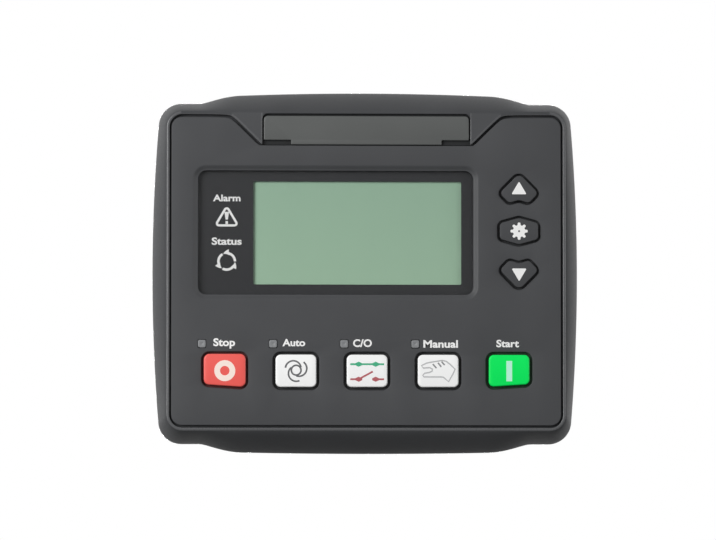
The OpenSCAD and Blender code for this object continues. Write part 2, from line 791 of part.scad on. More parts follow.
module rear_housing() {
    rim = shroud + 2 * slip;
    hole_y0 = y_rear - wall - cut;
    hole_y1 = y_rear + cut;
    color("#2e2f31") difference() {
        union() {
            difference() {
                union() {
                    block(0, 0, housing_w, housing_h, y_flange, y_shoulder, housing_r);
                    block(0, 0, housing_w, block_h, y_shoulder - cut, y_rear, housing_r);
                }
                block(0, 0, inner_w, inner_h, y_flange - cut, y_shoulder - wall);
                block(0, 0, inner_w, block_h - 2 * wall, y_shoulder - wall - cut, y_rear - wall);
            }
            corners_at(post_x, post_z) rod(0, 0, post_r, y_flange, y_shoulder - wall / 2);
        }
        corners_at(post_x, post_z) {
            rod(0, 0, screw_r + slip, y_flange - cut, y_shoulder);
            rod(0, 0, head_r + running_gap, head_seat, y_shoulder + cut);
        }
        for (p = PLUGS) let (s = plug_side(p))
            block(s[0] * plug_x, s[1] * row_z, plug_w + 2 * rim, socket_h + 2 * rim,
                y_shoulder - wall - cut, y_shoulder + cut);
        block(usb_x, usb_z, usb_w + 2 * running_gap, usb_h + 2 * running_gap, hole_y0, hole_y1, 1);
        for (i = [-4:4])
            block(vent_x + i * vent_pitch, 0, vent_w, vent_h, hole_y0, hole_y1, 0.45 * vent_w);
        for (sx = [-1, 1], sz = [-1, 1])
            translate([sx * (housing_w - wall) / 2, slot_y0 + slot_l / 2, sz * slot_z])
                cube([wall + 2 * cut, slot_l, hook_h + 2 * running_gap], center = true);
    }
}

module housing_screws() {
    color("silver") corners_at(post_x, post_z)
        screw(head_seat, head_seat - y_flange + boss_l - 1.6, screw_r, -1);
}

module panel_gasket() {
    w = bezel_w - 2 * gasket_inset;
    h = bezel_h - 2 * (shoulder_drop + gasket_inset);
    color("#1b1b1b") difference() {
        block(0, 0, w, h, y_flange, 0, corner_r);
        block(0, 0, housing_w + 0.8, housing_h + 0.8, y_flange - cut, cut, housing_r);
    }
}

// Clip for the right side: a plate on the wall, a nut block for the jack screw and two hooks
module clip_right() {
    x0 = housing_w / 2;
    nut_l = 7;
    nut_h = 10;
    arm_t = 1.8;
    y_arm = slot_y0 + running_gap;
    difference() {
        union() {
            translate([x0, clip_y0, -clip_h / 2]) cube([clip_t, clip_y1 - clip_y0, clip_h]);
            translate([x0 + clip_t - cut, clip_y0, -nut_h / 2])
                cube([clip_reach - clip_t + cut, nut_l, nut_h]);
            for (sz = [-1, 1]) translate([x0 - wall - slip, y_arm, sz * slot_z - hook_h / 2]) {
                cube([wall + slip + cut, arm_t, hook_h]);
                translate([-hook_l, 0, 0]) cube([hook_l, slot_l + 0.6, hook_h]);
            }
        }
        rod(jack_x, 0, jack_d / 2 + slip, clip_y0 - cut, clip_y0 + nut_l + cut);
    }
}

module left_clip() {
    color("#3a3b3d") mirror([1, 0, 0]) clip_right();
}

module right_clip() {
    color("#3a3b3d") clip_right();
}

jack_head_t = 4;
jack_l = clip_y1 - panel_room + 6;

module jack_screws() {
    jack_end = panel_room + jack_l + jack_head_t;
    color("silver") for (sx = [-1, 1]) translate([sx * jack_x, 0, 0]) difference() {
        union() {
            rod(0, 0, jack_d / 2, panel_room, panel_room + jack_l + cut);
            rod(0, 0, jack_d * 0.8, panel_room + jack_l, jack_end);
        }
        block(0, 0, 2 * jack_d, 1, jack_end - 1.6, jack_end + cut);
    }
}

front_bezel();
fascia_panel();
nameplate();
window_lens();
lcd_frame();
lcd_glass();
backlight();
indicator_guides();
mode_lamps();
lamp_chips();
for (k = KEYS) key(k);
for (k = KEYS) plunger(k);
key_switches();
display_board();
control_chip();
board_header();
board_spacers();
board_screws();
power_board();
relays();
capacitors();
transformer();
cell_holder();
backup_cell();
terminal_headers();
terminal_pins();
for (p = PLUGS) plug(p);
terminal_screws();
usb_socket();
usb_insert();
rear_housing();
housing_screws();
panel_gasket();
left_clip();
right_clip();
jack_screws();
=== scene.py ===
import math

import bmesh
import bpy
import numpy as np
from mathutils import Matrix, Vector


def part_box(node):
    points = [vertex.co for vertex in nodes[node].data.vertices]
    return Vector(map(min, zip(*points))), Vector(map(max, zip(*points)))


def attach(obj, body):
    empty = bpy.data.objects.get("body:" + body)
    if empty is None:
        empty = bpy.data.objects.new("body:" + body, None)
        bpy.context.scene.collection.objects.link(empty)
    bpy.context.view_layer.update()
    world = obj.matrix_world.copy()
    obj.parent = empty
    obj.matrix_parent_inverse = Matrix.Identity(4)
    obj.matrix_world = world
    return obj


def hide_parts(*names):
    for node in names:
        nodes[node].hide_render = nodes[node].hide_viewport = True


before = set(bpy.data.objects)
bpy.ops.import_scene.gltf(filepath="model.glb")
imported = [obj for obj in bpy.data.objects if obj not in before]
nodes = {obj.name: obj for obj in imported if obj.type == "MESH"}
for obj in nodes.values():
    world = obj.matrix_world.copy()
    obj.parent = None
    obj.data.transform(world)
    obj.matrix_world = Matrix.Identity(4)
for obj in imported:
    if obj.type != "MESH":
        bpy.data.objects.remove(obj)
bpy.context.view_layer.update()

# Front bezel: one injection moulding in dark grey ABS, with a fine spark-eroded grain.
# Its roll runs from a bowed, waisted outline up to a thin lip round the fascia, and a tongue
# dips from the upper edge to carry the nameplate. It is screwed to the rear housing.
MM = 0.001


def span(node, axis):
    """Lowest and highest place of a solid along one axis (0, 1 or 2), in millimetres."""
    low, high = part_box(node)
    return low[axis] / MM, high[axis] / MM


def grid_faces(rows, cols, wrap=False, ring=True):
    """Quads of a grid: each joins a point to the row behind it and to the next column. With ring the
    columns close on themselves, and with wrap the last row is joined to the first."""
    row, col = np.arange(rows if wrap else rows - 1), np.arange(cols if ring else cols - 1)
    i, j = np.meshgrid(row, col, indexing="ij")
    below, beside = (i + 1) % rows, (j + 1) % cols
    quads = [i * cols + j, below * cols + j, below * cols + beside, i * cols + beside]
    return np.stack(quads, -1).reshape(-1, 4)


def add_object(name, data):
    """Object of a mesh, curve, lamp or camera, linked to the scene."""
    thing = bpy.data.objects.new(name, data)
    bpy.context.collection.objects.link(thing)
    return thing


def finish_piece(name, mesh, materials, body, crease):
    """Piece of a mesh with its materials, on a body. Edges over the crease angle, in degrees, are sharp."""
    mesh.set_sharp_from_angle(angle=math.radians(crease))
    for material in materials:
        mesh.materials.append(material)
    piece = add_object(name, mesh)
    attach(piece, body)
    return piece


def add_piece(name, points, faces, materials, body="controller"):
    """Piece of points in millimetres and their faces, shaded smooth."""
    mesh = bpy.data.meshes.new(name)
    mesh.from_pydata(np.asarray(points, float).reshape(-1, 3) * MM, [], faces)
    mesh.polygons.foreach_set("use_smooth", np.ones(len(mesh.polygons), bool))
    return finish_piece(name, mesh, materials, body, crease=32)


def linear(hex_colour):
    """Linear RGBA of an sRGB hex colour: each channel over 12.92 near black, else the 2.4 power law."""
    channels = np.array([int(hex_colour[i:i + 2], 16) for i in (1, 3, 5)]) / 255
    low, high = channels / 12.92, ((channels + 0.055) / 1.055) ** 2.4
    return (*np.where(channels <= 0.04045, low, high), 1.0)


def add_node(tree, kind, inputs=None, **settings):
    """Adds a shader node with its settings, and sets each input to a value or links it to an output."""
    node = tree.nodes.new("ShaderNode" + kind)
    for key, value in settings.items():
        setattr(node, key, value)
    for key, value in (inputs or {}).items():
        if isinstance(value, bpy.types.NodeSocket):
            tree.links.new(value, node.inputs[key])
        else:
            node.inputs[key].default_value = value
    return node


def new_material(name):
    """Material with its node tree and the inputs of its shader."""
    material = bpy.data.materials.new(name)
    material.use_nodes = True
    return material, material.node_tree, material.node_tree.nodes["Principled BSDF"].inputs


def moulded(name, shade, light, rough, grain_mm=0.5, relief_mm=0.002, mottle_mm=24, gloss=0.4):
    """Moulded plastic. The tool's grain gives a fine bump and uneven gloss, and the melt's flow lets
    the colour drift between two near shades over a few centimetres. A real grain is too fine to show
    here, so it is drawn as coarse as it needs to be."""
    swing, noise_low, noise_high = 0.06, 0.3, 0.7
    material, tree, shader = new_material(name)
    place = add_node(tree, "TexCoord").outputs["Object"]
    drift = add_node(tree, "TexNoise", {"Vector": place, "Scale": 1 / (mottle_mm * MM), "Detail": 2.0})
    colour = add_node(tree, "ValToRGB", {"Fac": drift.outputs["Fac"]})
    for stop, spot, hex_colour in zip(colour.color_ramp.elements, (noise_low, noise_high), (shade, light)):
        stop.position = spot
        stop.color = linear(hex_colour)
    grain = add_node(tree, "TexNoise", {"Vector": place, "Scale": 1 / (grain_mm * MM), "Detail": 3.0})
    height = grain.outputs["Fac"]
    sheen = add_node(tree, "MapRange", {"Value": height, "From Min": noise_low, "From Max": noise_high,
                                        "To Min": rough - swing, "To Max": rough + swing})
    bump = add_node(tree, "Bump", {"Height": height, "Strength": 1.0, "Distance": relief_mm * MM})
    shader["Specular IOR Level"].default_value = gloss
    tree.links.new(colour.outputs["Color"], shader["Base Color"])
    tree.links.new(sheen.outputs["Result"], shader["Roughness"])
    tree.links.new(bump.outputs["Normal"], shader["Normal"])
    return material


bezel_half_w = span("front_bezel", 0)[1]
bezel_half_h = span("front_bezel", 2)[1]
y_lip, y_flange = span("front_bezel", 1)
y_fascia, y_ledge = span("fascia_panel", 1)
fascia_low, fascia_high = span("fascia_panel", 2)
fascia_half_w = span("fascia_panel", 0)[1]
fascia_z, fascia_half_h = (fascia_low + fascia_high) / 2, (fascia_high - fascia_low) / 2
y_board_back = span("display_board", 1)[1]
plate_low, plate_high = span("nameplate", 2)
plate_half_w = span("nameplate", 0)[1]
y_plate, y_recess = span("nameplate", 1)
throat_margin = 2
throat_half_w = span("rear_housing", 0)[1] - throat_margin
throat_half_h = span("rear_housing", 2)[1] - throat_margin
throat_corner_r = 18
side_bow_r = 600
low_sag = 0.4
bezel_corner_r = 7.6
shoulder_drop = 3.6
flank_foot, flank_head, flank_power = 54.5, 40, 0.7
crown = 0.8
flange_edge = 1.8
roll_bend = 1.6
lip_w = 1.0
lip_r = 0.42
lip_turn = math.radians(55)
groove_w = 0.8
ledge_w = 4.5
fascia_corner_r = 3.5
tongue_wall = 0.3
tongue_back = 2
tongue_ledge = 2.4
plate_gap = 0.45
recess_corner_r = 1.7
edge_r = 0.25
edge_mid_share = 0.29
bead_w = 0.6
flank_shift = 0.41
foot_ease, head_ease = 0.3, 1.3
pocket_half_w = fascia_half_w + groove_w
pocket_half_h = fascia_half_h + groove_w
recess_half_w = plate_half_w + plate_gap
recess_top = plate_high + plate_gap
tongue_half_w = recess_half_w + tongue_wall
tongue_dip = 0.5
tongue_z = plate_low - tongue_dip

# Stations along the upper edge, as shares of its straight run: even steps, and close ones where
# the nameplate's recess turns its corners and where the tongue's flanks begin and end.
run_half = pocket_half_w - fascia_corner_r - groove_w
recess_turn = recess_half_w - recess_corner_r * (1 - np.sin(np.linspace(0, np.pi / 2, 9)))
wall_step, wall_foot, floor_fall = 0.02, 0.05, 0.02
wall_near, wall_far, flank_near, turn_clear = 0.12, 0.6, 2.4, 1.0
flank_end = tongue_half_w + fascia_z + pocket_half_h - tongue_z
near = np.concatenate([recess_turn, [recess_half_w + wall_step],
                       np.linspace(recess_half_w + wall_near, tongue_half_w + wall_far, 7),
                       np.linspace(flank_end - flank_near, flank_end + flank_near, 13)])
even = np.linspace(-run_half, run_half, 91)
even = even[np.abs(np.abs(even) - recess_half_w) > turn_clear]
shares = np.unique(np.concatenate([even, near, -near]))[::-1] / run_half
side_steps, corner_steps = 24, 14
upright = np.linspace(-1, 1, side_steps + 1)[:-1]
turn = np.linspace(0, np.pi / 2, corner_steps + 1)


def closed_loop(side, arc, top):
    """Whole loop, counter-clockwise from low on the right: its right side, corner and top, the left
    corner as the mirror of the right one, and the lower half as the upper one turned by half."""
    upper = np.concatenate([side, arc, top, arc[:0:-1] * (-1, 1)])
    return np.concatenate([upper, -upper])


def direction(angle):
    """Unit vectors at angles from the x axis."""
    return np.stack([np.cos(angle), np.sin(angle)], -1)


def rounded_loop(half_w, half_h, corner_r):
    """Rounded rectangle with the same stations as every other loop of the bezel."""
    x, z = half_w - corner_r, half_h - corner_r
    side = np.stack([np.full(side_steps, half_w), z * upright], -1)
    arc = corner_r * direction(turn[:-1]) + (x, z)
    top = np.stack([x * shares, np.full(len(shares), half_h)], -1)
    return closed_loop(side, arc, top)


def outer_loop():
    """The outline: sides on a large radius, corner arcs, and an upper and a lower edge whose raised
    middle, a little crowned, flows down to the shoulders on a smooth step. The lower edge sags beside its
    middle, by the square of the distance up to the flanks, and the sides follow it down in proportion."""
    shoulder = bezel_half_h - shoulder_drop
    cz = shoulder - bezel_corner_r
    lean = math.asin(cz / (side_bow_r - bezel_corner_r))
    bow_x = bezel_half_w - side_bow_r
    cx = bow_x + (side_bow_r - bezel_corner_r) * math.cos(lean)
    side = side_bow_r * direction(lean * upright) + (bow_x, 0)
    angle = lean + (np.pi / 2 - lean) * turn[:-1] / (np.pi / 2)
    arc = bezel_corner_r * direction(angle) + (cx, cz)
    x = cx * shares
    step = np.clip((flank_foot - np.abs(x)) / (flank_foot - flank_head), 0, 1) ** flank_power
    rise = shoulder_drop - crown * (np.minimum(np.abs(x), flank_head) / flank_head) ** 2
    top = np.stack([x, shoulder + rise * step ** 2 * (3 - 2 * step)], -1)
    loop = closed_loop(side, arc, top)
    across = np.minimum(np.abs(loop[:, 0]) / flank_head, 1) ** 2
    loop[:, 1] -= low_sag * across * np.clip(-loop[:, 1] / cz, 0, 1)
    return loop


upper_run = slice(side_steps + corner_steps, side_steps + corner_steps + len(shares))


def bay_loop(half_w, half_h, corner_r, notch_half, notch_z):
    """Rounded rectangle raised to the fascia's height, whose upper edge follows the tongue: level at
    notch_z, then rising at 45 degrees, with both turns eased by soft minima and maxima."""
    loop = rounded_loop(half_w, half_h, corner_r) + (0, fascia_z)
    top = loop[upper_run]
    flank = notch_z + np.abs(top[:, 0]) - notch_half
    flank = (flank + notch_z + np.hypot(flank - notch_z, foot_ease)) / 2
    top[:, 1] = (flank + top[:, 1] - np.hypot(flank - top[:, 1], head_ease)) / 2
    return loop


def pocket_loop(grow):
    """The pocket's edge, moved out into the bezel by grow. A flank at 45 degrees then shifts along the
    tongue's foot by the tangent of half that angle."""
    return bay_loop(pocket_half_w + grow, pocket_half_h + grow, fascia_corner_r + groove_w + grow,
                    tongue_half_w - flank_shift * grow, tongue_z + grow)


def at_depth(loop, y):
    """Points of a flat loop at a depth, or at one depth for each point."""
    return np.stack([loop[:, 0], np.broadcast_to(y, len(loop)), loop[:, 1]], -1)


outer = outer_loop()
lip, lip_flat = (rounded_loop(pocket_half_w + grow, pocket_half_h + grow, fascia_corner_r + groove_w + grow)
                 + (0, fascia_z) for grow in (lip_w, lip_w - lip_r))
cavity = rounded_loop(pocket_half_w - ledge_w, pocket_half_h - ledge_w, fascia_corner_r) + (0, fascia_z)
shelf = bay_loop(pocket_half_w - ledge_w, pocket_half_h - ledge_w, fascia_corner_r,
                 tongue_half_w + tongue_ledge, tongue_z - tongue_ledge)
throat = rounded_loop(throat_half_w, throat_half_h, throat_corner_r)
edge, edge_mid, edge_top = (pocket_loop(grow) for grow in (0, edge_mid_share * edge_r, edge_r))
to_lip = lip_flat - edge_top
bead_share = np.minimum(bead_w / np.linalg.norm(to_lip, axis=1), 0.5)
edge_far = edge_top + bead_share[:, None] * to_lip

# The recess is a drop in the tongue's face: inside it the rows follow its upper edge down the wall
# and along the floor, and beside it they lie on the face at the same heights.
top_x = np.abs(lip[:, 0])
on_top = np.zeros(len(lip), bool)
on_top[upper_run] = True
in_recess = on_top & (top_x <= recess_half_w + wall_step / 2)
turn_x = np.clip(top_x - recess_half_w + recess_corner_r, 0, recess_corner_r)
wall_end = recess_top - recess_corner_r
recess_edge = wall_end + np.sqrt(recess_corner_r ** 2 - turn_x ** 2)
lip_top = fascia_z + pocket_half_h + lip_w - lip_r
beside = np.clip(top_x - recess_half_w - wall_step, 0, edge_r)
side_fillet = np.where(on_top, edge_r - np.sqrt(edge_r ** 2 - (edge_r - beside) ** 2), 0)


def tongue_row(rise, y_inside, filleted):
    """Row of the tongue's face at a rise above the recess's upper edge. Beside the recess it keeps the
    height at which the recess's wall ends, as a share of the way from the lip to the pocket."""
    share = (lip_top - wall_end - rise) / (lip_top - tongue_z - edge_r)
    flat = lip_flat + share * (edge_top - lip_flat)
    z = np.where(in_recess, recess_edge + rise, flat[:, 1])
    y = np.where(in_recess, y_inside, y_lip + (side_fillet if filleted else 0))
    return np.stack([flat[:, 0], y, z], -1)


def pocket_row(loop, drop):
    """Row along the pocket's rounded edge, or on the recess's floor where the edge runs below it."""
    fillet = np.maximum(drop, side_fillet)
    return at_depth(loop, np.where(in_recess, y_recess + floor_fall * drop, y_lip + fillet))


# The lip's outer edge is an arc, and the roll a superellipse from its foot to the outline: a power of
# the sine outwards and of the cosine in depth, so that it breaks off sharply.
roll_steps, lip_steps = 20, 6
lip_arc_r = lip_r / math.sin(lip_turn)
lip_fall = lip_arc_r * (1 - math.cos(lip_turn))
y_roll = y_lip + lip_fall
bezel_rows = []
for angle in np.linspace(0, lip_turn, lip_steps + 1)[:-1]:
    share = lip_arc_r * math.sin(angle) / lip_r
    fall = lip_arc_r * (1 - math.cos(angle))
    bezel_rows.append(at_depth(lip_flat * (1 - share) + lip * share, y_lip + fall))
for angle in np.linspace(0, np.pi / 2, roll_steps + 1):
    share, fall = math.sin(angle) ** roll_bend, 1 - math.cos(angle) ** roll_bend
    y_row = y_roll + (y_flange - flange_edge - y_roll) * fall
    bezel_rows.append(at_depth(lip * (1 - share) + outer * share, y_row))
bezel_rows += [at_depth(loop, y) for loop, y in (
    (outer, y_flange), (throat, y_flange), (throat, y_board_back), (cavity, y_board_back),
    (cavity, y_ledge + tongue_back), (shelf, y_ledge + tongue_back), (shelf, y_ledge), (edge, y_ledge))]
pocket_start = len(bezel_rows)
bezel_rows += [pocket_row(edge, edge_r), pocket_row(edge_mid, edge_mid_share * edge_r),
               pocket_row(edge_top, 0), pocket_row(edge_far, 0),
               tongue_row(-wall_foot, y_recess, True), tongue_row(0, y_lip + edge_r, True),
               tongue_row(edge_mid_share * edge_r, y_lip + edge_mid_share * edge_r, False),
               tongue_row(edge_r, y_lip, False)]
bezel_abs = moulded("moulded_abs_dark_grey", "#414244", "#464749", 0.43, 0.5, 0.006, gloss=0.15)
# Painted shade: a darker copy of the ABS for the recess's floor.
bezel_shade = moulded("moulded_abs_in_shade", "#242526", "#28292a", 0.55, 0.5, 0.004, gloss=0.15)
# Painted highlight: a lighter copy of the ABS, also glossier, for the lip and the pocket's edge.
bead_painted_highlight = moulded("moulded_abs_glossy_edge_painted_highlight", "#4a4b4d", "#4f5052", 0.3, 0.5, 0.002, gloss=0.5)
# Painted highlight: a lighter copy of the ABS, also smoother, for the tongue's flanks.
flank_painted_highlight = moulded("moulded_abs_smooth_face_painted_highlight", "#434446", "#48494b", 0.4, 0.5, 0.004, gloss=0.25)
bezel = add_piece("bezel", np.stack(bezel_rows), grid_faces(len(bezel_rows), len(outer), wrap=True),
                  (bezel_abs, bezel_shade, bead_painted_highlight, flank_painted_highlight))

# Painted highlight: the lip and the pocket's edge take a lighter, glossier copy of the ABS, and the tongue's
# flanks a lighter, smoother one. Painted shade: the recess's floor takes a darker copy.
row, column = np.divmod(np.arange(len(bezel.data.polygons)), len(outer))
over_recess = in_recess[column] & in_recess[(column + 1) % len(outer)]
by_recess = np.abs(top_x[column] - recess_half_w - edge_r) < edge_r
by_flank = on_top[column] & ~over_recess & (top_x[column] < flank_end)
on_edge = ~on_top[column] | (row < pocket_start + 2 + by_flank) | by_recess
on_edge &= (row >= pocket_start) & ~over_recess
on_edge |= (row < lip_steps) & ~on_top[column]
on_floor = (row >= pocket_start) & (row < pocket_start + 5) & over_recess
on_flank = (row >= pocket_start + 3) & by_flank & ~by_recess
finish = on_floor + 2 * on_edge + 3 * on_flank
bezel.data.polygons.foreach_set("material_index", finish.astype(np.int32))
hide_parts("front_bezel")


# Fascia: a flat ABS moulding that lies in the bezel's pocket with a groove all round, and keeps
# clear of the tongue. It has the openings of the keys and lamps, with softly broken edges, and a
# shallow dish round the window.
KEYS = ("stop", "auto", "breaker", "manual", "start", "up", "menu", "down")
NAV_KEYS = KEYS[5:]
least_r = 0.15
key_corner_r = 1.7
key_slant = 0.9
key_gap = 0.95
key_flange_w = 0.6
fit_gap = 0.15


def middle(node):
    """Middle of a solid seen from the front, in millimetres."""
    return np.array([sum(span(node, 0)) / 2, sum(span(node, 2)) / 2])


homes = {key: middle(key + "_plunger") for key in KEYS}


def unit(vectors):
    """Vectors over their own lengths."""
    return vectors / np.linalg.norm(vectors, axis=-1, keepdims=True)


def rounded(corners, steps=8):
    """Loop of a polygon of corners [x, z, radius], each replaced by an arc: its middle lies on the
    corner's bisector at radius over the sine of half the angle, and it turns the short way."""
    xy, radius = corners[:, :2], corners[:, 2:]
    back, ahead = unit(np.roll(xy, 1, 0) - xy), unit(np.roll(xy, -1, 0) - xy)
    half = np.arccos(np.sum(back * ahead, 1, keepdims=True)) / 2
    centre = xy + unit(back + ahead) * radius / np.sin(half)
    start, end = xy + back * radius / np.tan(half) - centre, xy + ahead * radius / np.tan(half) - centre
    first = np.arctan2(start[:, 1], start[:, 0])[:, None]
    swing = np.arctan2(end[:, 1], end[:, 0])[:, None] - first
    angle = first + ((swing + 3 * np.pi) % (2 * np.pi) - np.pi) * np.linspace(0, 1, steps + 1)
    arcs = direction(angle) * radius[:, None]
    return (centre[:, None] + arcs).reshape(-1, 2)


def inset(corners, distance):
    """The same corners with every edge moved in by a distance, or out where it is negative. The radius
    of an outer corner shrinks by as much, and that of an inner one grows."""
    xy = corners[:, :2]
    before, after = unit(xy - np.roll(xy, 1, 0)), unit(np.roll(xy, -1, 0) - xy)
    n1, n2 = before[:, ::-1] * (-1, 1), after[:, ::-1] * (-1, 1)
    moved = xy + distance * (n1 + n2) / (1 + np.sum(n1 * n2, 1, keepdims=True))
    bend = np.sign(before[:, 0] * after[:, 1] - before[:, 1] * after[:, 0])
    return np.column_stack([moved, np.maximum(least_r, corners[:, 2] - bend * distance)])


def rectangle(centre, width, height, corner_r):
    """Corners [x, z, radius] of a rectangle, counter-clockwise from the lower left."""
    signs = np.array([[-1, -1], [1, -1], [1, 1], [-1, 1]])
    return np.column_stack([centre + signs * (width / 2, height / 2), np.full(4, corner_r)])


key_flange_out = key_gap + key_flange_w
key_corners = {}
for key in KEYS:
    key_w, key_h = (np.ptp(span(key + "_key", axis)) - 2 * key_flange_out for axis in (0, 2))
    key_corners[key] = rectangle(middle(key + "_key"), key_w, key_h, key_corner_r)
key_corners["stop"][0, 1] += key_slant
key_corners["start"][1, 1] += key_slant

# The menu keys are cut to one another: the outer two are arrow heads whose notched feet follow
# the hexagon between them.
nav_half_w = 6.1
arrow = np.array([[0, 5.1, 1.7], [-nav_half_w, -1.1, 1.3], [-3.2, -4.1, 1.2],
                  [0, -3.15, 2.4], [3.2, -4.1, 1.2], [nav_half_w, -1.1, 1.3]])
hexagon = np.array([[0, 4.15, 2.4], [-nav_half_w, 2.45, 1.2], [-nav_half_w, -2.45, 1.2],
                    [0, -4.15, 2.4], [nav_half_w, -2.45, 1.2], [nav_half_w, 2.45, 1.2]])
nav_shapes = {"up": arrow, "menu": hexagon, "down": arrow * (-1, -1, 1)}
for key in NAV_KEYS:
    key_corners[key] = nav_shapes[key] + np.append(homes[key], 0)

window_flange = 1.4
window_r = 2.6
window_w, window_h = (np.ptp(span("window_lens", axis)) - 2 * window_flange for axis in (0, 2))
window_corners = rectangle(middle("window_lens"), window_w, window_h, window_r)
y_window, y_lens_back = span("window_lens", 1)
dish_w = 2.0
lamp_low, lamp_high = span("mode_lamps", 2)
lamp_flange = 0.4
lamp_w = lamp_high - lamp_low - 2 * lamp_flange
lamp_z = (lamp_low + lamp_high) / 2
lamp_shift = span("mode_lamps", 0)[0] + lamp_w / 2 + lamp_flange - homes["stop"][0]
lamp_places = [np.array([homes[key][0] + lamp_shift, lamp_z]) for key in KEYS[:4]]


def plate_with_openings(name, rims, *materials, body="controller", second_from=None):
    """Plate made of one strip for each rim, a list of loops with their depths from the front face
    to the back face, and two flat faces filled between the strips' first and last loops. From row
    second_from on it takes the piece's second material."""
    mesh = bmesh.new()
    for rim in rims:
        strip = bpy.data.meshes.new(name)
        rows = np.stack([at_depth(loop, y) for loop, y in rim])
        strip.from_pydata(rows.reshape(-1, 3) * MM, [], grid_faces(len(rows), rows.shape[1]))
        strip.polygons.foreach_set("use_smooth", np.ones(len(strip.polygons), bool))
        if second_from is not None:
            row = np.arange(len(strip.polygons)) // rows.shape[1]
            strip.polygons.foreach_set("material_index", (row >= second_from).astype(np.int32))
        mesh.from_mesh(strip)
        bpy.data.meshes.remove(strip)
    for depth, facing in ((rims[0][0][1], -1), (rims[0][-1][1], 1)):
        border = [e for e in mesh.edges if e.is_boundary
                  and all(abs(v.co.y - depth * MM) < 1e-7 for v in e.verts)]
        filled = bmesh.ops.triangle_fill(mesh, edges=border, use_beauty=True, normal=(0, facing, 0))
        faces = [f for f in filled["geom"] if isinstance(f, bmesh.types.BMFace)]
        bmesh.ops.reverse_faces(mesh, faces=[f for f in faces if f.normal.y * facing < 0])
        for face in faces:
            face.smooth = False
            face.material_index = int(second_from is not None and facing > 0)
    data = bpy.data.meshes.new(name)
    mesh.to_mesh(data)
    mesh.free()
    return finish_piece(name, data, materials, body, crease=40)


def broken_edge(loop_at, front, back, radius, steps=4):
    """Rim of an edge rounded at the front: loop_at gives the loop moved into the plate by a distance."""
    angles = np.linspace(0, np.pi / 2, steps + 1)
    rim = [(loop_at(radius * (1 - math.sin(a))), front + radius * (1 - math.cos(a))) for a in angles]
    return rim + [(loop_at(0), back)]


tongue_gap = 0.25
side_grow = 0.2
fascia_edge_r, opening_edge_r, lamp_opening_r = 0.25, 0.3, 0.5
notch_half = tongue_half_w - tongue_gap + groove_w * math.sqrt(2)


def fascia_loop(move):
    """The fascia's outline, moved in by a distance."""
    return bay_loop(fascia_half_w + side_grow - move, fascia_half_h - move, fascia_corner_r - move,
                    notch_half + flank_shift * move, tongue_z - tongue_gap - move)


# The dish falls on a smooth step from the fascia's face to the window's edge. A rim of an opening
# runs clockwise, so that its faces look into the opening.
dish = []
for share in np.linspace(0, 1, 13):
    out = fit_gap + (dish_w - fit_gap) * (1 - share)
    depth = y_fascia + (y_window - y_fascia) * share ** 2 * (3 - 2 * share)
    dish.append((rounded(inset(window_corners, -out))[::-1], depth))
dish.append((dish[-1][0], y_ledge))
fascia_rims = [broken_edge(fascia_loop, y_fascia, y_ledge, fascia_edge_r), dish]
for key in KEYS:
    hole = inset(key_corners[key], -key_gap)
    fascia_rims.append(broken_edge(lambda move, c=hole: rounded(inset(c, -move))[::-1],
                                   y_fascia, y_ledge, opening_edge_r))
for place in lamp_places:
    hole = rectangle(place, lamp_w + 2 * fit_gap, lamp_w + 2 * fit_gap, lamp_opening_r)
    fascia_rims.append([(rounded(hole, 4)[::-1], y_fascia), (rounded(hole, 4)[::-1], y_ledge)])
fascia_abs = moulded("moulded_abs_charcoal", "#414244", "#454648", 0.5, 0.35, 0.004, gloss=0.25)
fascia = plate_with_openings("fascia", fascia_rims, fascia_abs)
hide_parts("fascia_panel")


# Nameplate: a plain satin ABS plate that snaps into the tongue's recess. Its lower corners are cut
# away, so that a screwdriver can prise it out.
prise_w = 9
prise_h = 1.5
plate_edge_r = 0.25
plate_drop = 0.25
cut_r = 0.3
plate_top = plate_high - plate_drop
slot_x = plate_half_w - prise_w
slot_z = tongue_z + prise_h
plate_corner_r = recess_corner_r - plate_gap
plate_corners = np.array([[-slot_x, tongue_z, cut_r], [slot_x, tongue_z, cut_r], [slot_x, slot_z, cut_r],
                          [plate_half_w, slot_z, cut_r], [plate_half_w, plate_top, plate_corner_r],
                          [-plate_half_w, plate_top, plate_corner_r], [-plate_half_w, slot_z, cut_r],
                          [-slot_x, slot_z, cut_r]])
plate_rim = broken_edge(lambda move: rounded(inset(plate_corners, move), 6), y_plate, y_recess, plate_edge_r)
satin_abs = moulded("moulded_abs_satin_grey", "#505251", "#545655", 0.42, 0.6, 0.003)
plate = plate_with_openings("blank_nameplate", [plate_rim], satin_abs)
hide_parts("nameplate")


# Window: a clear acrylic lens, lightly tinted, pushed in from behind until its flange meets the
# fascia. Its back is screen printed in black, apart from the opening in front of the display.
lens_edge_r = 0.3
lens_flange_loop = rounded(inset(window_corners, -window_flange))
tinted_acrylic, acrylic_tree, acrylic = new_material("tinted_acrylic_polished")
acrylic["Base Color"].default_value = linear("#1c1d1f")
acrylic["IOR"].default_value = 1.49
acrylic["Alpha"].default_value = 0.1
acrylic["Specular IOR Level"].default_value = 0.25
haze_mm, clear_rough, haze_rough = 9, 0.06, 0.14
acrylic_place = add_node(acrylic_tree, "TexCoord").outputs["Object"]
haze = add_node(acrylic_tree, "TexNoise", {"Vector": acrylic_place, "Scale": 1 / (haze_mm * MM)})
dulled = add_node(acrylic_tree, "MapRange",
                  {"Value": haze.outputs["Fac"], "To Min": clear_rough, "To Max": haze_rough})
acrylic_tree.links.new(dulled.outputs["Result"], acrylic["Roughness"])
lens_rim = broken_edge(lambda move: rounded(inset(window_corners, move)), y_window, y_ledge, lens_edge_r)
lens_rim += [(lens_flange_loop, y_ledge), (lens_flange_loop, y_lens_back)]
lens = plate_with_openings("window_lens_clear", [lens_rim], tinted_acrylic)
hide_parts("window_lens")


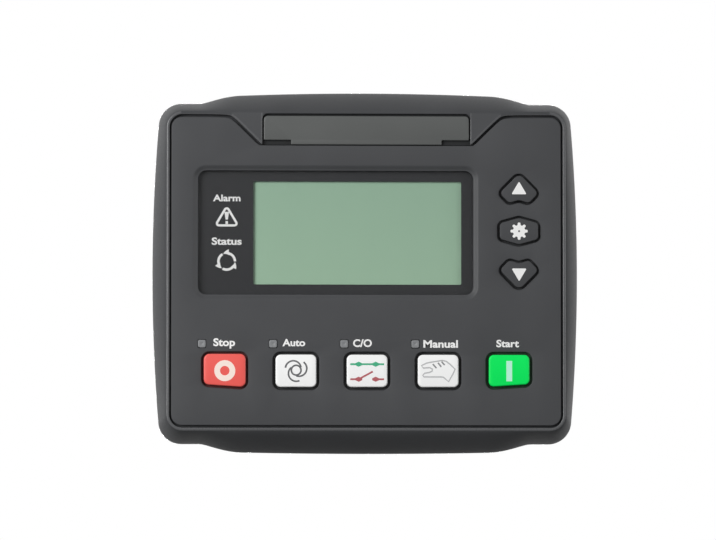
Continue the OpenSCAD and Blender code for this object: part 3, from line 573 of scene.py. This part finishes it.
def flat_print(name, loops, depths, ink, body="controller"):
    """Print in one ink between an outer loop and the loops of its openings."""
    return plate_with_openings(name, [[(loop, y) for y in depths] for loop in loops], ink, body=body)


view_w, view_h, view_corner_r = 68.6, 34, 0.5
print_depth, print_t, print_margin = 0.25, 0.15, 0.2
y_print = y_lens_back - print_depth
print_outer = rounded(inset(window_corners, print_margin - window_flange))
print_view = rounded(rectangle(middle("lcd_glass"), view_w, view_h, view_corner_r), 4)[::-1]
black_ink = moulded("screen_ink_black", "#1e1f22", "#212224", 0.45, 0.8, 0.001)
mask = flat_print("window_print", [print_outer, print_view], (y_print, y_print + print_t), black_ink)


# Display: a reflective liquid-crystal glass in its tinplate frame, unlit. The green-grey of its
# polariser is a little brighter towards the foot, and the rubbing of the glass leaves faint streaks.
def dress(material, *names, edge_mm=0.0):
    """Gives CAD solids their material. Where they are seen, live modifiers join their triangles to flat
    faces and break the sharp edges."""
    for name in names:
        solid = nodes[name]
        solid.data.materials.clear()
        solid.data.materials.append(material)
        if edge_mm:
            solid.modifiers.new("joined", "WELD").merge_threshold = 0.002 * MM
            flat = solid.modifiers.new("flat_faces", "DECIMATE")
            flat.decimate_type = "DISSOLVE"
            flat.angle_limit = math.radians(1)
            broken = solid.modifiers.new("broken_edges", "BEVEL")
            broken.width = edge_mm * MM
            broken.segments = 2
            broken.limit_method = "ANGLE"
            broken.angle_limit = math.radians(40)


lcd_polariser, lcd_tree, lcd_shader = new_material("liquid_crystal_polariser")
streak_mm, streak_squash, streak_share = 12, 0.15, 0.35
lcd_place = add_node(lcd_tree, "TexCoord").outputs["Object"]
lcd_low, lcd_high = (z * MM for z in span("lcd_glass", 2))
lcd_height = add_node(lcd_tree, "SeparateXYZ", {"Vector": lcd_place}).outputs["Z"]
lcd_rise = add_node(lcd_tree, "MapRange", {"Value": lcd_height, "From Min": lcd_low, "From Max": lcd_high})
streak_place = add_node(lcd_tree, "Mapping", {"Vector": lcd_place, "Scale": (1, 1, streak_squash)})
streaks = add_node(lcd_tree, "TexNoise", {"Vector": streak_place.outputs["Vector"],
                                          "Scale": 1 / (streak_mm * MM), "Detail": 4.0})
lcd_mix = add_node(lcd_tree, "Math", {0: streaks.outputs["Fac"], 1: streak_share,
                                      2: lcd_rise.outputs["Result"]}, operation="MULTIPLY_ADD")
lcd_colour = add_node(lcd_tree, "ValToRGB", {"Fac": lcd_mix.outputs[0]})
for stop, spot, hex_colour in zip(lcd_colour.color_ramp.elements, (0.1, 1.0), ("#b4d8ba", "#abcfb4")):
    stop.position = spot
    stop.color = linear(hex_colour)
lcd_tree.links.new(lcd_colour.outputs["Color"], lcd_shader["Base Color"])
lcd_shader["Roughness"].default_value = 0.4
dress(lcd_polariser, "lcd_glass")


# Keys: hard caps moulded on the switches' stems, with a flange behind the fascia that stops them.
# The start and stop caps are through-coloured, the white ones stand on a dark base, and the menu
# keys are moulded in nearly the fascia's own grey. Below the fascia's face each key takes its second,
# darker material: for the stop and start keys a darker copy of their colour, a painted shade, and for
# the white and menu keys a dark base that is partly painted shade.
cap_edge_r = 0.5
cap_grow = 0.2
menu_edge_r = 0.2
ink_t = 0.03
stem_r = 2
cap_foot = 0.2
y_key, y_stem = span("stop_key", 1)
y_cap = y_key + ink_t
# From this row on each key takes its second, darker material, a painted shade.
shade_row = 5
red_cap = moulded("moulded_abs_red", "#ea5a53", "#ee615a", 0.38)
# Painted shade: darker copies of the red and green caps, for below the fascia's face.
red_base = moulded("moulded_abs_red_in_shade", "#5a2322", "#5f2726", 0.55)
white_cap = moulded("moulded_abs_white", "#f9faf9", "#fbfbfb", 0.4)
# Partly painted shade: the dark base of the white and menu keys below the fascia's face.
dark_base = moulded("moulded_abs_black_and_painted_shade", "#27282a", "#2a2b2d", 0.55)
green_cap = moulded("moulded_abs_green", "#02ec60", "#08f066", 0.42, gloss=0.2)
green_base = moulded("moulded_abs_green_in_shade", "#0a3a1d", "#0c4020", 0.55)
grey_cap = moulded("moulded_abs_key_grey", "#3e3f41", "#424345", 0.5, 0.35, 0.004, gloss=0.25)
cap_finish = {"stop": (red_cap, red_base, "key_red"), "start": (green_cap, green_base, "key_green")}
for key in KEYS:
    caps = inset(key_corners[key], -cap_grow if key in ("stop", *NAV_KEYS) else 0)
    flange = rounded(inset(key_corners[key], -key_flange_out))
    stem = homes[key] + stem_r * unit(flange - homes[key])
    rim = broken_edge(lambda move, c=caps: rounded(inset(c, move)), y_cap, y_fascia + cap_foot,
                      menu_edge_r if key in NAV_KEYS else cap_edge_r)
    rim += [(rim[-1][0], y_ledge), (flange, y_ledge), (flange, y_lens_back)]
    rim += [(stem, y_lens_back), (stem, y_stem)]
    usual = (grey_cap, dark_base, "key_dark") if key in NAV_KEYS else (white_cap, dark_base, "key_white")
    top, base, finish = cap_finish.get(key, usual)
    cap = plate_with_openings(key + "_cap", [rim], top, base, body=key + "_button", second_from=shade_row)
    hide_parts(key + "_key")


# Signs on the keys: pad-printed ink, a few hundredths of a millimetre thick. Stop is a ring, auto a
# whirl of three arms, breaker a closed and an open contact, manual a hand, start a bar.
def stroke(path, width, closed=False):
    """Flat ribbon of ink along a path, with its width at each point or one width for all: the path is
    moved to both sides along its normals and closed by walls down into the surface. Returns the
    points, with the front at depth 0 and the foot at depth 2, and the faces."""
    path = np.asarray(path, float)
    ahead = np.roll(path, -1, 0) - np.roll(path, 1, 0)
    if not closed:
        ahead[0], ahead[-1] = path[1] - path[0], path[-1] - path[-2]
    left = unit(ahead)[:, ::-1] * (-1, 1) * np.broadcast_to(width, len(path))[:, None] / 2
    rows = [at_depth(path + side * left, depth) for side, depth in ((1, 0), (-1, 0), (-1, 2), (1, 2))]
    count = len(path)
    faces = grid_faces(4, count, wrap=True, ring=closed)
    if not closed:
        corners = np.arange(4) * count
        faces = np.concatenate([faces, [corners[::-1]], [corners + count - 1]])
    return np.concatenate(rows), faces


def arc(centre, radius, first, last, steps=40):
    """Points on a circle between two angles in degrees."""
    angle = np.radians(np.linspace(first, last, steps + 1))
    return radius * direction(angle) + centre


def ink_sign(name, strokes, place, y_surface, body, ink):
    """One piece of several strokes about a place, with its front an ink's thickness proud and each
    further stroke a tenth of that lower, so that no two fronts coincide."""
    counts = np.cumsum([0] + [len(points) for points, _ in strokes])
    layer = np.repeat(1 - 0.1 * np.arange(len(strokes)), np.diff(counts))
    points = np.concatenate([points for points, _ in strokes])
    faces = np.concatenate([faces + start for (_, faces), start in zip(strokes, counts)])
    points[:, 1] = y_surface - ink_t * layer * (1 - points[:, 1])
    add_piece(name, points + (place[0], 0, place[1]), faces, [ink], body)


def pad_ink(name, shade, light):
    """Thin matt ink in two near shades."""
    return moulded("pad_ink_" + name, shade, light, 0.5, 0.3, 0.001)


white_ink = pad_ink("white", "#f1f1f0", "#f5f5f4")
cream_ink = pad_ink("cream", "#fbe6da", "#fdeae0")
mint_ink = pad_ink("mint", "#bdf8de", "#c4fbe3")
grey_ink = pad_ink("grey", "#5c5d5f", "#626365")
pale_ink = pad_ink("pale_grey", "#b6b7b8", "#bbbcbd")
green_ink = pad_ink("green", "#3fa97e", "#46ae84")
red_ink = pad_ink("red_brown", "#ad585d", "#b35e63")
fold_ink = pad_ink("middle_grey", "#868789", "#8c8d8f")

ring_r, ring_w = 2.5, 1.9
stop_ring = stroke(arc((0, 0), ring_r, 0, 360, 63)[:-1], ring_w, closed=True)
ink_sign("stop_sign", [stop_ring], homes["stop"], y_cap, "stop_button", cream_ink)

bar_w, bar_h = 1.9, 6.7
bar = stroke([[0, -bar_h / 2], [0, bar_h / 2]], bar_w)
ink_sign("start_sign", [bar], homes["start"], y_cap, "start_button", mint_ink)

hub_r, arm_r, arm_shift, whirl_w = 1.6, 2.58, 1.08, 0.55
arm_start, arm_end, whirl_shift = -142, 22, (0.05, 0.2)
whirl = [stroke(arc((0, 0), hub_r, 0, 360, 47)[:-1], whirl_w, closed=True)]
for facing in (32, 152, 272):
    heart = arm_shift * direction(math.radians(facing))
    whirl.append(stroke(arc(heart, arm_r, facing + arm_start, facing + arm_end), whirl_w))
ink_sign("auto_sign", whirl, homes["auto"] + whirl_shift, y_cap, "auto_button", grey_ink)

contact_half, contact_w = 5.55, 0.6
knot_x, knot_l, knot_w = 2.8, 1.15, 1.7
closed_z, open_z = 2.2, -2.75
blade_tip = [1.85, -0.2]


def knot(x, z):
    """Diamond on a contact line: a short stroke whose width swells to the middle."""
    along = np.linspace(-knot_l, knot_l, 9)
    width = contact_w + (knot_w - contact_w) * (1 - abs(along) / knot_l)
    return stroke(np.stack([x + along, np.full(9, z)], -1), width)


closed_line = stroke([[-contact_half, closed_z], [contact_half, closed_z]], contact_w)
ink_sign("breaker_closed_sign", [closed_line, knot(-knot_x, closed_z), knot(knot_x, closed_z)],
         homes["breaker"], y_cap, "breaker_button", green_ink)
blade = stroke([[-knot_x, open_z], blade_tip], contact_w)
stubs = [stroke([[side * knot_x, open_z], [side * contact_half, open_z]], contact_w) for side in (-1, 1)]
ink_sign("breaker_open_sign", [blade, *stubs, knot(-knot_x, open_z), knot(knot_x, open_z)],
         homes["breaker"], y_cap, "breaker_button", red_ink)

# The hand points left: fist and finger above, thumb below, and the cuff's slanted end at the right.
hand_w, fold_w = 0.45, 0.5
hand = [[-5.55, 1.75], [-3.85, 2.6], [-1.8, 3.0], [-0.1, 3.25], [1.3, 3.5], [2.6, 3.2], [3.85, 2.25],
        [5.55, 0.6], [4.85, -0.95], [3.4, -3.5], [1.7, -2.05], [0.9, -1.95], [-4.75, -1.95], [-5.1, -1.45],
        [-4.5, -0.75], [-2.95, -0.5], [-2.0, -0.05], [-1.95, 0.65], [-2.8, 1.1], [-4.9, 0.95]]
folds = [[[-1.8, 2.3], [-0.6, 0.95]], [[-0.1, 2.7], [1.0, 1.35]], [[1.1, 3.1], [2.1, 1.95]]]
ink_sign("manual_sign", [stroke(hand, hand_w, closed=True)], homes["manual"], y_cap + ink_t / 4,
         "manual_button", pale_ink)
ink_sign("manual_folds", [stroke(fold, fold_w) for fold in folds], homes["manual"], y_cap,
         "manual_button", fold_ink)

# Signs on the menu keys: two filled arrow heads and a toothed wheel with a small dark hub.
arrow_w, arrow_h, arrow_r = 5.0, 4.25, 0.25
up_rise, down_drop = 0.65, 0.45
ink_depths = (y_cap - 0.9 * ink_t, y_cap + ink_t)


def triangle(width, height, corner_r):
    """Corners [x, z, radius] of a triangle that stands on the middle of its foot."""
    return np.array([[-width / 2, 0, corner_r], [width / 2, 0, corner_r], [0, height, corner_r]])


head = triangle(arrow_w, arrow_h, arrow_r) - (0, arrow_h / 2, 0)
arrow_signs = {"up": head + (0, up_rise, 0), "down": (head + (0, down_drop, 0)) * (-1, -1, 1)}
for key, shape in arrow_signs.items():
    flat_print(key + "_sign", [rounded(shape, 5) + homes[key]], ink_depths, white_ink, key + "_button")
wheel_r, tooth_h, teeth, tooth_flank, hub_hole_r = 2.42, 0.42, 8, 2.6, 0.32
spin = np.radians(np.arange(0, 360, 2.5))
wheel_reach = wheel_r + tooth_h * np.tanh(tooth_flank * np.cos(teeth * (spin - np.pi / 2)))
wheel = homes["menu"] + wheel_reach[:, None] * direction(spin)
hub_hole = arc(homes["menu"], hub_hole_r, 360, 0, 16)[:-1]
flat_print("menu_sign", [wheel, hub_hole], ink_depths, white_ink, "menu_button")


# Printing on the lens's back, in white beside the view: the two indicator marks with their words. One
# is a triangle with a stroke and a dot in it, the other three arrows that chase each other in a ring.
mark_x = -45.95
alarm_w, alarm_h, alarm_z, alarm_r, alarm_line = 8.8, 7.35, 14.95, 1.05, 0.75
beat_high, beat_low, beat_w_high, beat_w_low = 4.85, 2.3, 1.5, 0.75
dot_high, dot_low, dot_w = 1.8, 0.85, 0.8
ring_z, chase_r, chase_w, tail_turn = 3.45, 2.72, 0.82, 78
head_w, tip_w, head_turn, head_out = 1.9, 0.08, 36, 0.38
alarm = triangle(alarm_w, alarm_h, alarm_r) + (mark_x, alarm_z, 0)
flat_print("alarm_mark", [rounded(alarm), rounded(inset(alarm, alarm_line))[::-1]],
           (y_print - ink_t, y_print + ink_t), white_ink)
beat = [stroke([[0, beat_high], [0, beat_low]], np.array([beat_w_high, beat_w_low])),
        stroke([[0, dot_high], [0, dot_low]], dot_w)]
ink_sign("alarm_beat", beat, (mark_x, alarm_z), y_print, "controller", white_ink)
chase = []
for start in (0, 120, 240):
    chase.append(stroke(arc((0, 0), chase_r, start, start + tail_turn), chase_w))
    head_path = arc((0, 0), 1, start + tail_turn - 1, start + tail_turn + head_turn, 8)
    head_path = head_path * (chase_r + np.linspace(head_out, 0, 9)[:, None])
    chase.append(stroke(head_path, np.linspace(head_w, tip_w, 9)))
ink_sign("status_mark", chase, (mark_x, ring_z), y_print, "controller", white_ink)


# Words: plain letters in the same white ink, over each key on the fascia and over each mark on the
# lens. Only the plain names of the functions are printed.
def word(text, left, right, foot, height, y_surface):
    """Word made a mesh and then stretched to its width and to the height of its capitals, thick by the
    outline's offset, with its front an ink's thickness proud of the surface."""
    curve = bpy.data.curves.new(text, "FONT")
    curve.body = text
    curve.offset = 0.03
    curve.extrude = 0.01
    curve.resolution_u = 4
    sketch = add_object(text, curve)
    mesh = bpy.data.meshes.new_from_object(sketch.evaluated_get(bpy.context.evaluated_depsgraph_get()))
    bpy.data.objects.remove(sketch)
    flat = np.zeros(len(mesh.vertices) * 3)
    mesh.vertices.foreach_get("co", flat)
    across, up, out = flat.reshape(-1, 3).T
    x = left + (across - across.min()) / np.ptp(across) * (right - left)
    z = foot + up / up.max() * height
    y = y_surface - ink_t * np.sign(out)
    mesh.vertices.foreach_set("co", (np.stack([x, y, z], -1) * MM).ravel())
    mesh.materials.clear()
    mesh.materials.append(white_ink)
    piece = add_object("word_" + text.lower().replace("/", "_"), mesh)
    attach(piece, "controller")


word("Alarm", -50.5, -41.4, 23.35, 2.15, y_print)
word("Status", -50.9, -41.0, 9.0, 2.35, y_print)
word("Stop", -50.35, -43.2, -24.5, 2.5, y_fascia)
word("Auto", -27.65, -20.15, -24.5, 2.3, y_fascia)
word("C/O", -4.4, 1.8, -24.7, 2.45, y_fascia)
word("Manual", 18.75, 30.15, -24.9, 2.4, y_fascia)
word("Start", 42.8, 50.3, -24.7, 2.35, y_fascia)


# Mode lamps: four square light guides of milky acrylic, unlit, each pushed into its opening from behind
# until its flange meets the fascia. The middle of each is hollowed a little and looks darker.
lamp_corner_r, lamp_edge_r = 0.6, 0.25
lamp_dish, dish_inner, dish_outer = 0.2, 1.15, 0.85
y_lamp, y_lamp_back = span("mode_lamps", 1)
milky_acrylic = moulded("moulded_acrylic_milky", "#7d7f81", "#838587", 0.4)
for number, place in enumerate(lamp_places):
    square = rectangle(place, lamp_w, lamp_w, lamp_corner_r)
    collar = rectangle(place, lamp_w + 2 * lamp_flange, lamp_w + 2 * lamp_flange, lamp_opening_r)
    rows = [(rounded(inset(square, dish_inner), 4), y_lamp + lamp_dish),
            (rounded(inset(square, dish_outer), 4), y_lamp)]
    rows += broken_edge(lambda move, s=square: rounded(inset(s, move), 4), y_lamp, y_ledge, lamp_edge_r)
    rows += [(rounded(collar, 4), y_ledge), (rounded(collar, 4), y_lamp_back)]
    guide = plate_with_openings(f"mode_lamp_{number + 1}", [rows], milky_acrylic)
    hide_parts("mode_lamps")


# Display module behind the glass: a folded tinplate frame, a milky backlight and, beside them, the two
# light guides of the indicator marks. The lamps that feed guides and marks are small epoxy chips.
def metal(name, shade, light, rough, grain_mm, relief_mm):
    """Bare or plated metal: the finish gives it an uneven gloss and a fine bump, and its colour drifts
    between two near shades."""
    material = moulded(name, shade, light, rough, grain_mm, relief_mm, mottle_mm=6, gloss=0.5)
    material.node_tree.nodes["Principled BSDF"].inputs["Metallic"].default_value = 1.0
    return material


black_nylon = moulded("moulded_nylon_black", "#202123", "#242527", 0.48, 0.4, 0.003)
zinc_steel = metal("zinc_plated_steel", "#b9bcbf", "#c4c6c8", 0.3, 0.25, 0.002)
dress(metal("bright_tinplate", "#b4b5b6", "#bfc0c0", 0.34, 0.6, 0.001), "lcd_frame")
dress(moulded("moulded_polycarbonate_milky", "#e4e4dd", "#e9e9e3", 0.5), "backlight")
dress(moulded("moulded_acrylic_frosted", "#c3c7c8", "#ccd0d1", 0.35, 0.4, 0.003), "indicator_guides")
dress(moulded("cast_epoxy_pale_yellow", "#d3cd9c", "#dbd5a8", 0.3, 0.3, 0.001), "lamp_chips")


# Boards: glass-fibre laminate under a green solder mask, one behind the display with the key switches,
# one for the terminals, joined by a pin header and held apart by turned spacers.
laminate = moulded("glass_fibre_laminate_green", "#17502f", "#1d5c38", 0.38, 1.2, 0.004, mottle_mm=3)
dress(laminate, "display_board", "power_board")
dress(black_nylon, "key_switches", "board_header", "cell_holder", *[key + "_plunger" for key in KEYS])
dress(moulded("moulded_epoxy_black", "#1b1b1c", "#1f1f20", 0.6, 0.2, 0.003), "control_chip")
dress(metal("turned_brass", "#b8923f", "#c49e4b", 0.3, 0.15, 0.003), "board_spacers")
dress(zinc_steel, "board_screws")
dress(moulded("moulded_polyester_blue", "#2a5590", "#2f5c9a", 0.4, 0.4, 0.003), "relays")
dress(metal("drawn_aluminium", "#b2b4b6", "#bcbec0", 0.36, 0.3, 0.002), "capacitors")
dress(moulded("winding_tape_yellow", "#b8932c", "#c29d36", 0.45, 0.8, 0.004), "transformer")
nickel_steel = metal("nickel_plated_steel", "#b5b3ac", "#c0beb7", 0.26, 0.3, 0.001)
dress(nickel_steel, "backup_cell", "usb_socket", edge_mm=0.1)
dress(black_nylon, "usb_insert", edge_mm=0.12)


# Rear housing: one moulding in the bezel's ABS with a coarser grain, a raised middle with air slots and
# shelves for the terminals, screwed to the bezel's posts at its four corners.
housing_abs = moulded("moulded_abs_housing_grey", "#303133", "#343537", 0.55, 0.7, 0.012, gloss=0.3)
dress(housing_abs, "rear_housing", edge_mm=0.35)
dress(zinc_steel, "housing_screws", edge_mm=0.12)


# Gasket: closed-cell rubber foam, die-cut, which the clips press between the flange and the panel.
foam_rubber = moulded("foam_rubber_black", "#1a1a1a", "#212121", 0.85, 0.6, 0.05, gloss=0.2)
dress(foam_rubber, "panel_gasket", edge_mm=0.2)


# Terminals: green nylon headers on the power board and the plugs that push into them, with tinned pins
# and slotted clamp screws in their wells.
green_nylon = moulded("moulded_nylon_green", "#2c8145", "#318a4b", 0.42, 0.5, 0.004)
dress(green_nylon, "terminal_headers", edge_mm=0.15)
dress(green_nylon, "upper_left_plug", "upper_right_plug", "lower_left_plug", "lower_right_plug", edge_mm=0.22)
dress(metal("tinned_brass", "#b7b5a8", "#c1bfb3", 0.3, 0.2, 0.001), "terminal_pins")
dress(zinc_steel, "terminal_screws", edge_mm=0.08)


# Panel clips: glass-filled nylon hooks in the housing's side slots, each with a zinc-plated jack screw
# that bears on the panel's back and pulls the flange against it.
filled_nylon = moulded("moulded_glass_filled_nylon", "#28292b", "#2d2e30", 0.6, 0.3, 0.01)
dress(filled_nylon, "left_clip", "right_clip", edge_mm=0.25)
jack_pitch, thread_depth, thread_flank, turn_steps = 0.7, 0.42, 2.4, 8
jack_point, jack_overlap = 0.7, 0.1
jack_r, jack_head_r, jack_head_t = 2.0, 3.2, 4.0
jack_slot_w, jack_slot_depth, jack_edge_r = 1.0, 1.6, 0.3
jack_x = span("jack_screws", 0)[1] - jack_head_r
y_jack, y_jack_end = span("jack_screws", 1)
y_jack_head, y_jack_slot = y_jack_end - jack_head_t, y_jack_end - jack_slot_depth


def lofts(name, stacks, material):
    """One piece of several closed shells, each a stack of loops with their depths, with flat ends."""
    points, faces, start = [], [], 0
    for stack in stacks:
        rows = np.stack([at_depth(loop, y) for loop, y in stack])
        first = np.arange(start, start + rows.shape[1])
        last = first + (len(rows) - 1) * rows.shape[1]
        points.append(rows.reshape(-1, 3))
        faces += (grid_faces(*rows.shape[:2]) + start).tolist() + [first.tolist(), last[::-1].tolist()]
        start += rows.size // 3
    return add_piece(name, np.concatenate(points), faces, [material])


def cheek(axis, flip, move):
    """Half of the head beside the slot: a circle's arc and its chord, moved in by an edge's radius."""
    half_turn = np.arcsin(jack_slot_w / 2 / jack_head_r)
    bow = np.linspace(half_turn, np.pi - half_turn, 24)
    loop = direction(bow) * (jack_head_r - move)
    loop[:, 1] = np.maximum(loop[:, 1], jack_slot_w / 2 + move)
    return axis + flip * loop


# The thread's depth runs once up and down for each turn, and tapers to the screw's point.
depths = np.arange(y_jack, y_jack_head, jack_pitch / turn_steps)
around = np.radians(np.arange(0, 360, 12))
phase = (depths[:, None] / jack_pitch - around / (2 * np.pi)) % 1
crest = np.minimum(1, thread_flank * abs(phase - 0.5))
reach = np.minimum(jack_r - thread_depth * (1 - crest), jack_r - jack_point + (depths[:, None] - y_jack))
circle = direction(around)
edge_turn = np.linspace(0, np.pi / 2, 5)
for side, name in ((-1, "left_jack_screw"), (1, "right_jack_screw")):
    axis = np.array([side * jack_x, 0])
    shank = [(axis + radius[:, None] * circle, y) for radius, y in zip(reach, depths)]
    shank.append((axis + jack_r * circle, y_jack_head + jack_overlap))
    stacks = [shank, [(axis + jack_head_r * circle, y) for y in (y_jack_head, y_jack_slot)]]
    for flip in (1, -1):
        stacks.append([(cheek(axis, flip, 0), y_jack_slot)] + [
            (cheek(axis, flip, jack_edge_r * (1 - math.cos(a))), y_jack_end - jack_edge_r * (1 - math.sin(a)))
            for a in edge_turn])
    screw = lofts(name, stacks, zinc_steel)
    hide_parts("jack_screws")


# Studio: a pale floor below the part and a white backdrop, both pale to views and reflections alone, a
# large soft lamp at the left, a weaker one at the right and one behind. The camera stands a little to
# the left of the part and below its middle, far away, as for a catalogue picture.
def seen_directly(tree):
    """1 where a camera, glossy or transmission ray arrives, as the largest of the three, and 0 elsewhere."""
    ray = add_node(tree, "LightPath")
    seen = ray.outputs["Is Camera Ray"]
    for kind in ("Is Glossy Ray", "Is Transmission Ray"):
        seen = add_node(tree, "Math", {0: seen, 1: ray.outputs[kind]}, operation="MAXIMUM").outputs[0]
    return seen


floor_z, floor_half_w, floor_front, floor_back = -0.13, 3, -3, 1.4
floor_mesh = bpy.data.meshes.new("floor")
floor_mesh.from_pydata([(-floor_half_w, floor_front, floor_z), (floor_half_w, floor_front, floor_z),
                        (floor_half_w, floor_back, floor_z), (-floor_half_w, floor_back, floor_z)],
                       [], [(0, 1, 2, 3)])
floor = add_object("floor", floor_mesh)
floor_paint, floor_tree, floor_shader = new_material("matt_pale_paint")
floor_seen = seen_directly(floor_tree)
for socket, unseen, seen in (("Base Color", 0.03, 0.25), ("Emission Strength", 0, 0.4)):
    pale = add_node(floor_tree, "MapRange", {"Value": floor_seen, "To Min": unseen, "To Max": seen})
    floor_tree.links.new(pale.outputs["Result"], floor_shader[socket])
floor_shader["Emission Color"].default_value = (1, 1, 1, 1)
floor_shader["Roughness"].default_value = 0.8
floor_shader["Specular IOR Level"].default_value = 0.1
floor_mesh.materials.append(floor_paint)

world = bpy.data.worlds.new("studio")
bpy.context.scene.world = world
world.use_nodes = True
sky = world.node_tree
sky.nodes["Background"].inputs["Color"].default_value = (1, 1, 1, 1)
sky_unseen, sky_seen = 0.15, 1.0
strength = add_node(sky, "MapRange", {"Value": seen_directly(sky), "To Min": sky_unseen, "To Max": sky_seen})
sky.links.new(strength.outputs["Result"], sky.nodes["Background"].inputs["Strength"])


def soft_lamp(name, place, size, watts, spread=180):
    """Square area lamp at a place in metres, turned to the part, with its light in a cone of degrees."""
    light = bpy.data.lights.new(name, "AREA")
    light.size = size
    light.energy = watts
    light.spread = math.radians(spread)
    lamp = add_object(name, light)
    lamp.location = place
    lamp.rotation_euler = (-lamp.location).to_track_quat("-Z", "Y").to_euler()


soft_lamp("key_lamp", (-0.75, -0.8, 0.25), 0.6, 12.5)
soft_lamp("rim_lamp", (1.1, -0.6, 0.25), 0.6, 4.9)
soft_lamp("back_lamp", (0, 1.6, 0.12), 0.5, 4, spread=40)

frame_px = np.array([716, 540])
origin_px = np.array([364.6, 274.0])
focal_px = 6033.7
camera_distance = 2.0
azimuth, elevation = math.radians(-2.447), math.radians(-3.076)
camera_data = bpy.data.cameras.new("camera")
camera_data.sensor_width = 36
camera_data.lens = focal_px * camera_data.sensor_width / frame_px[0]
shift = (origin_px - frame_px / 2) / frame_px[0]
camera_data.shift_x, camera_data.shift_y = -shift[0], shift[1]
camera = add_object("camera", camera_data)
camera.location = camera_distance * np.array([math.sin(azimuth) * math.cos(elevation),
                                              -math.cos(azimuth) * math.cos(elevation), math.sin(elevation)])
camera.rotation_euler = (-camera.location).to_track_quat("-Z", "Y").to_euler()
bpy.context.scene.camera = camera
bpy.context.scene.view_settings.view_transform = "Standard"
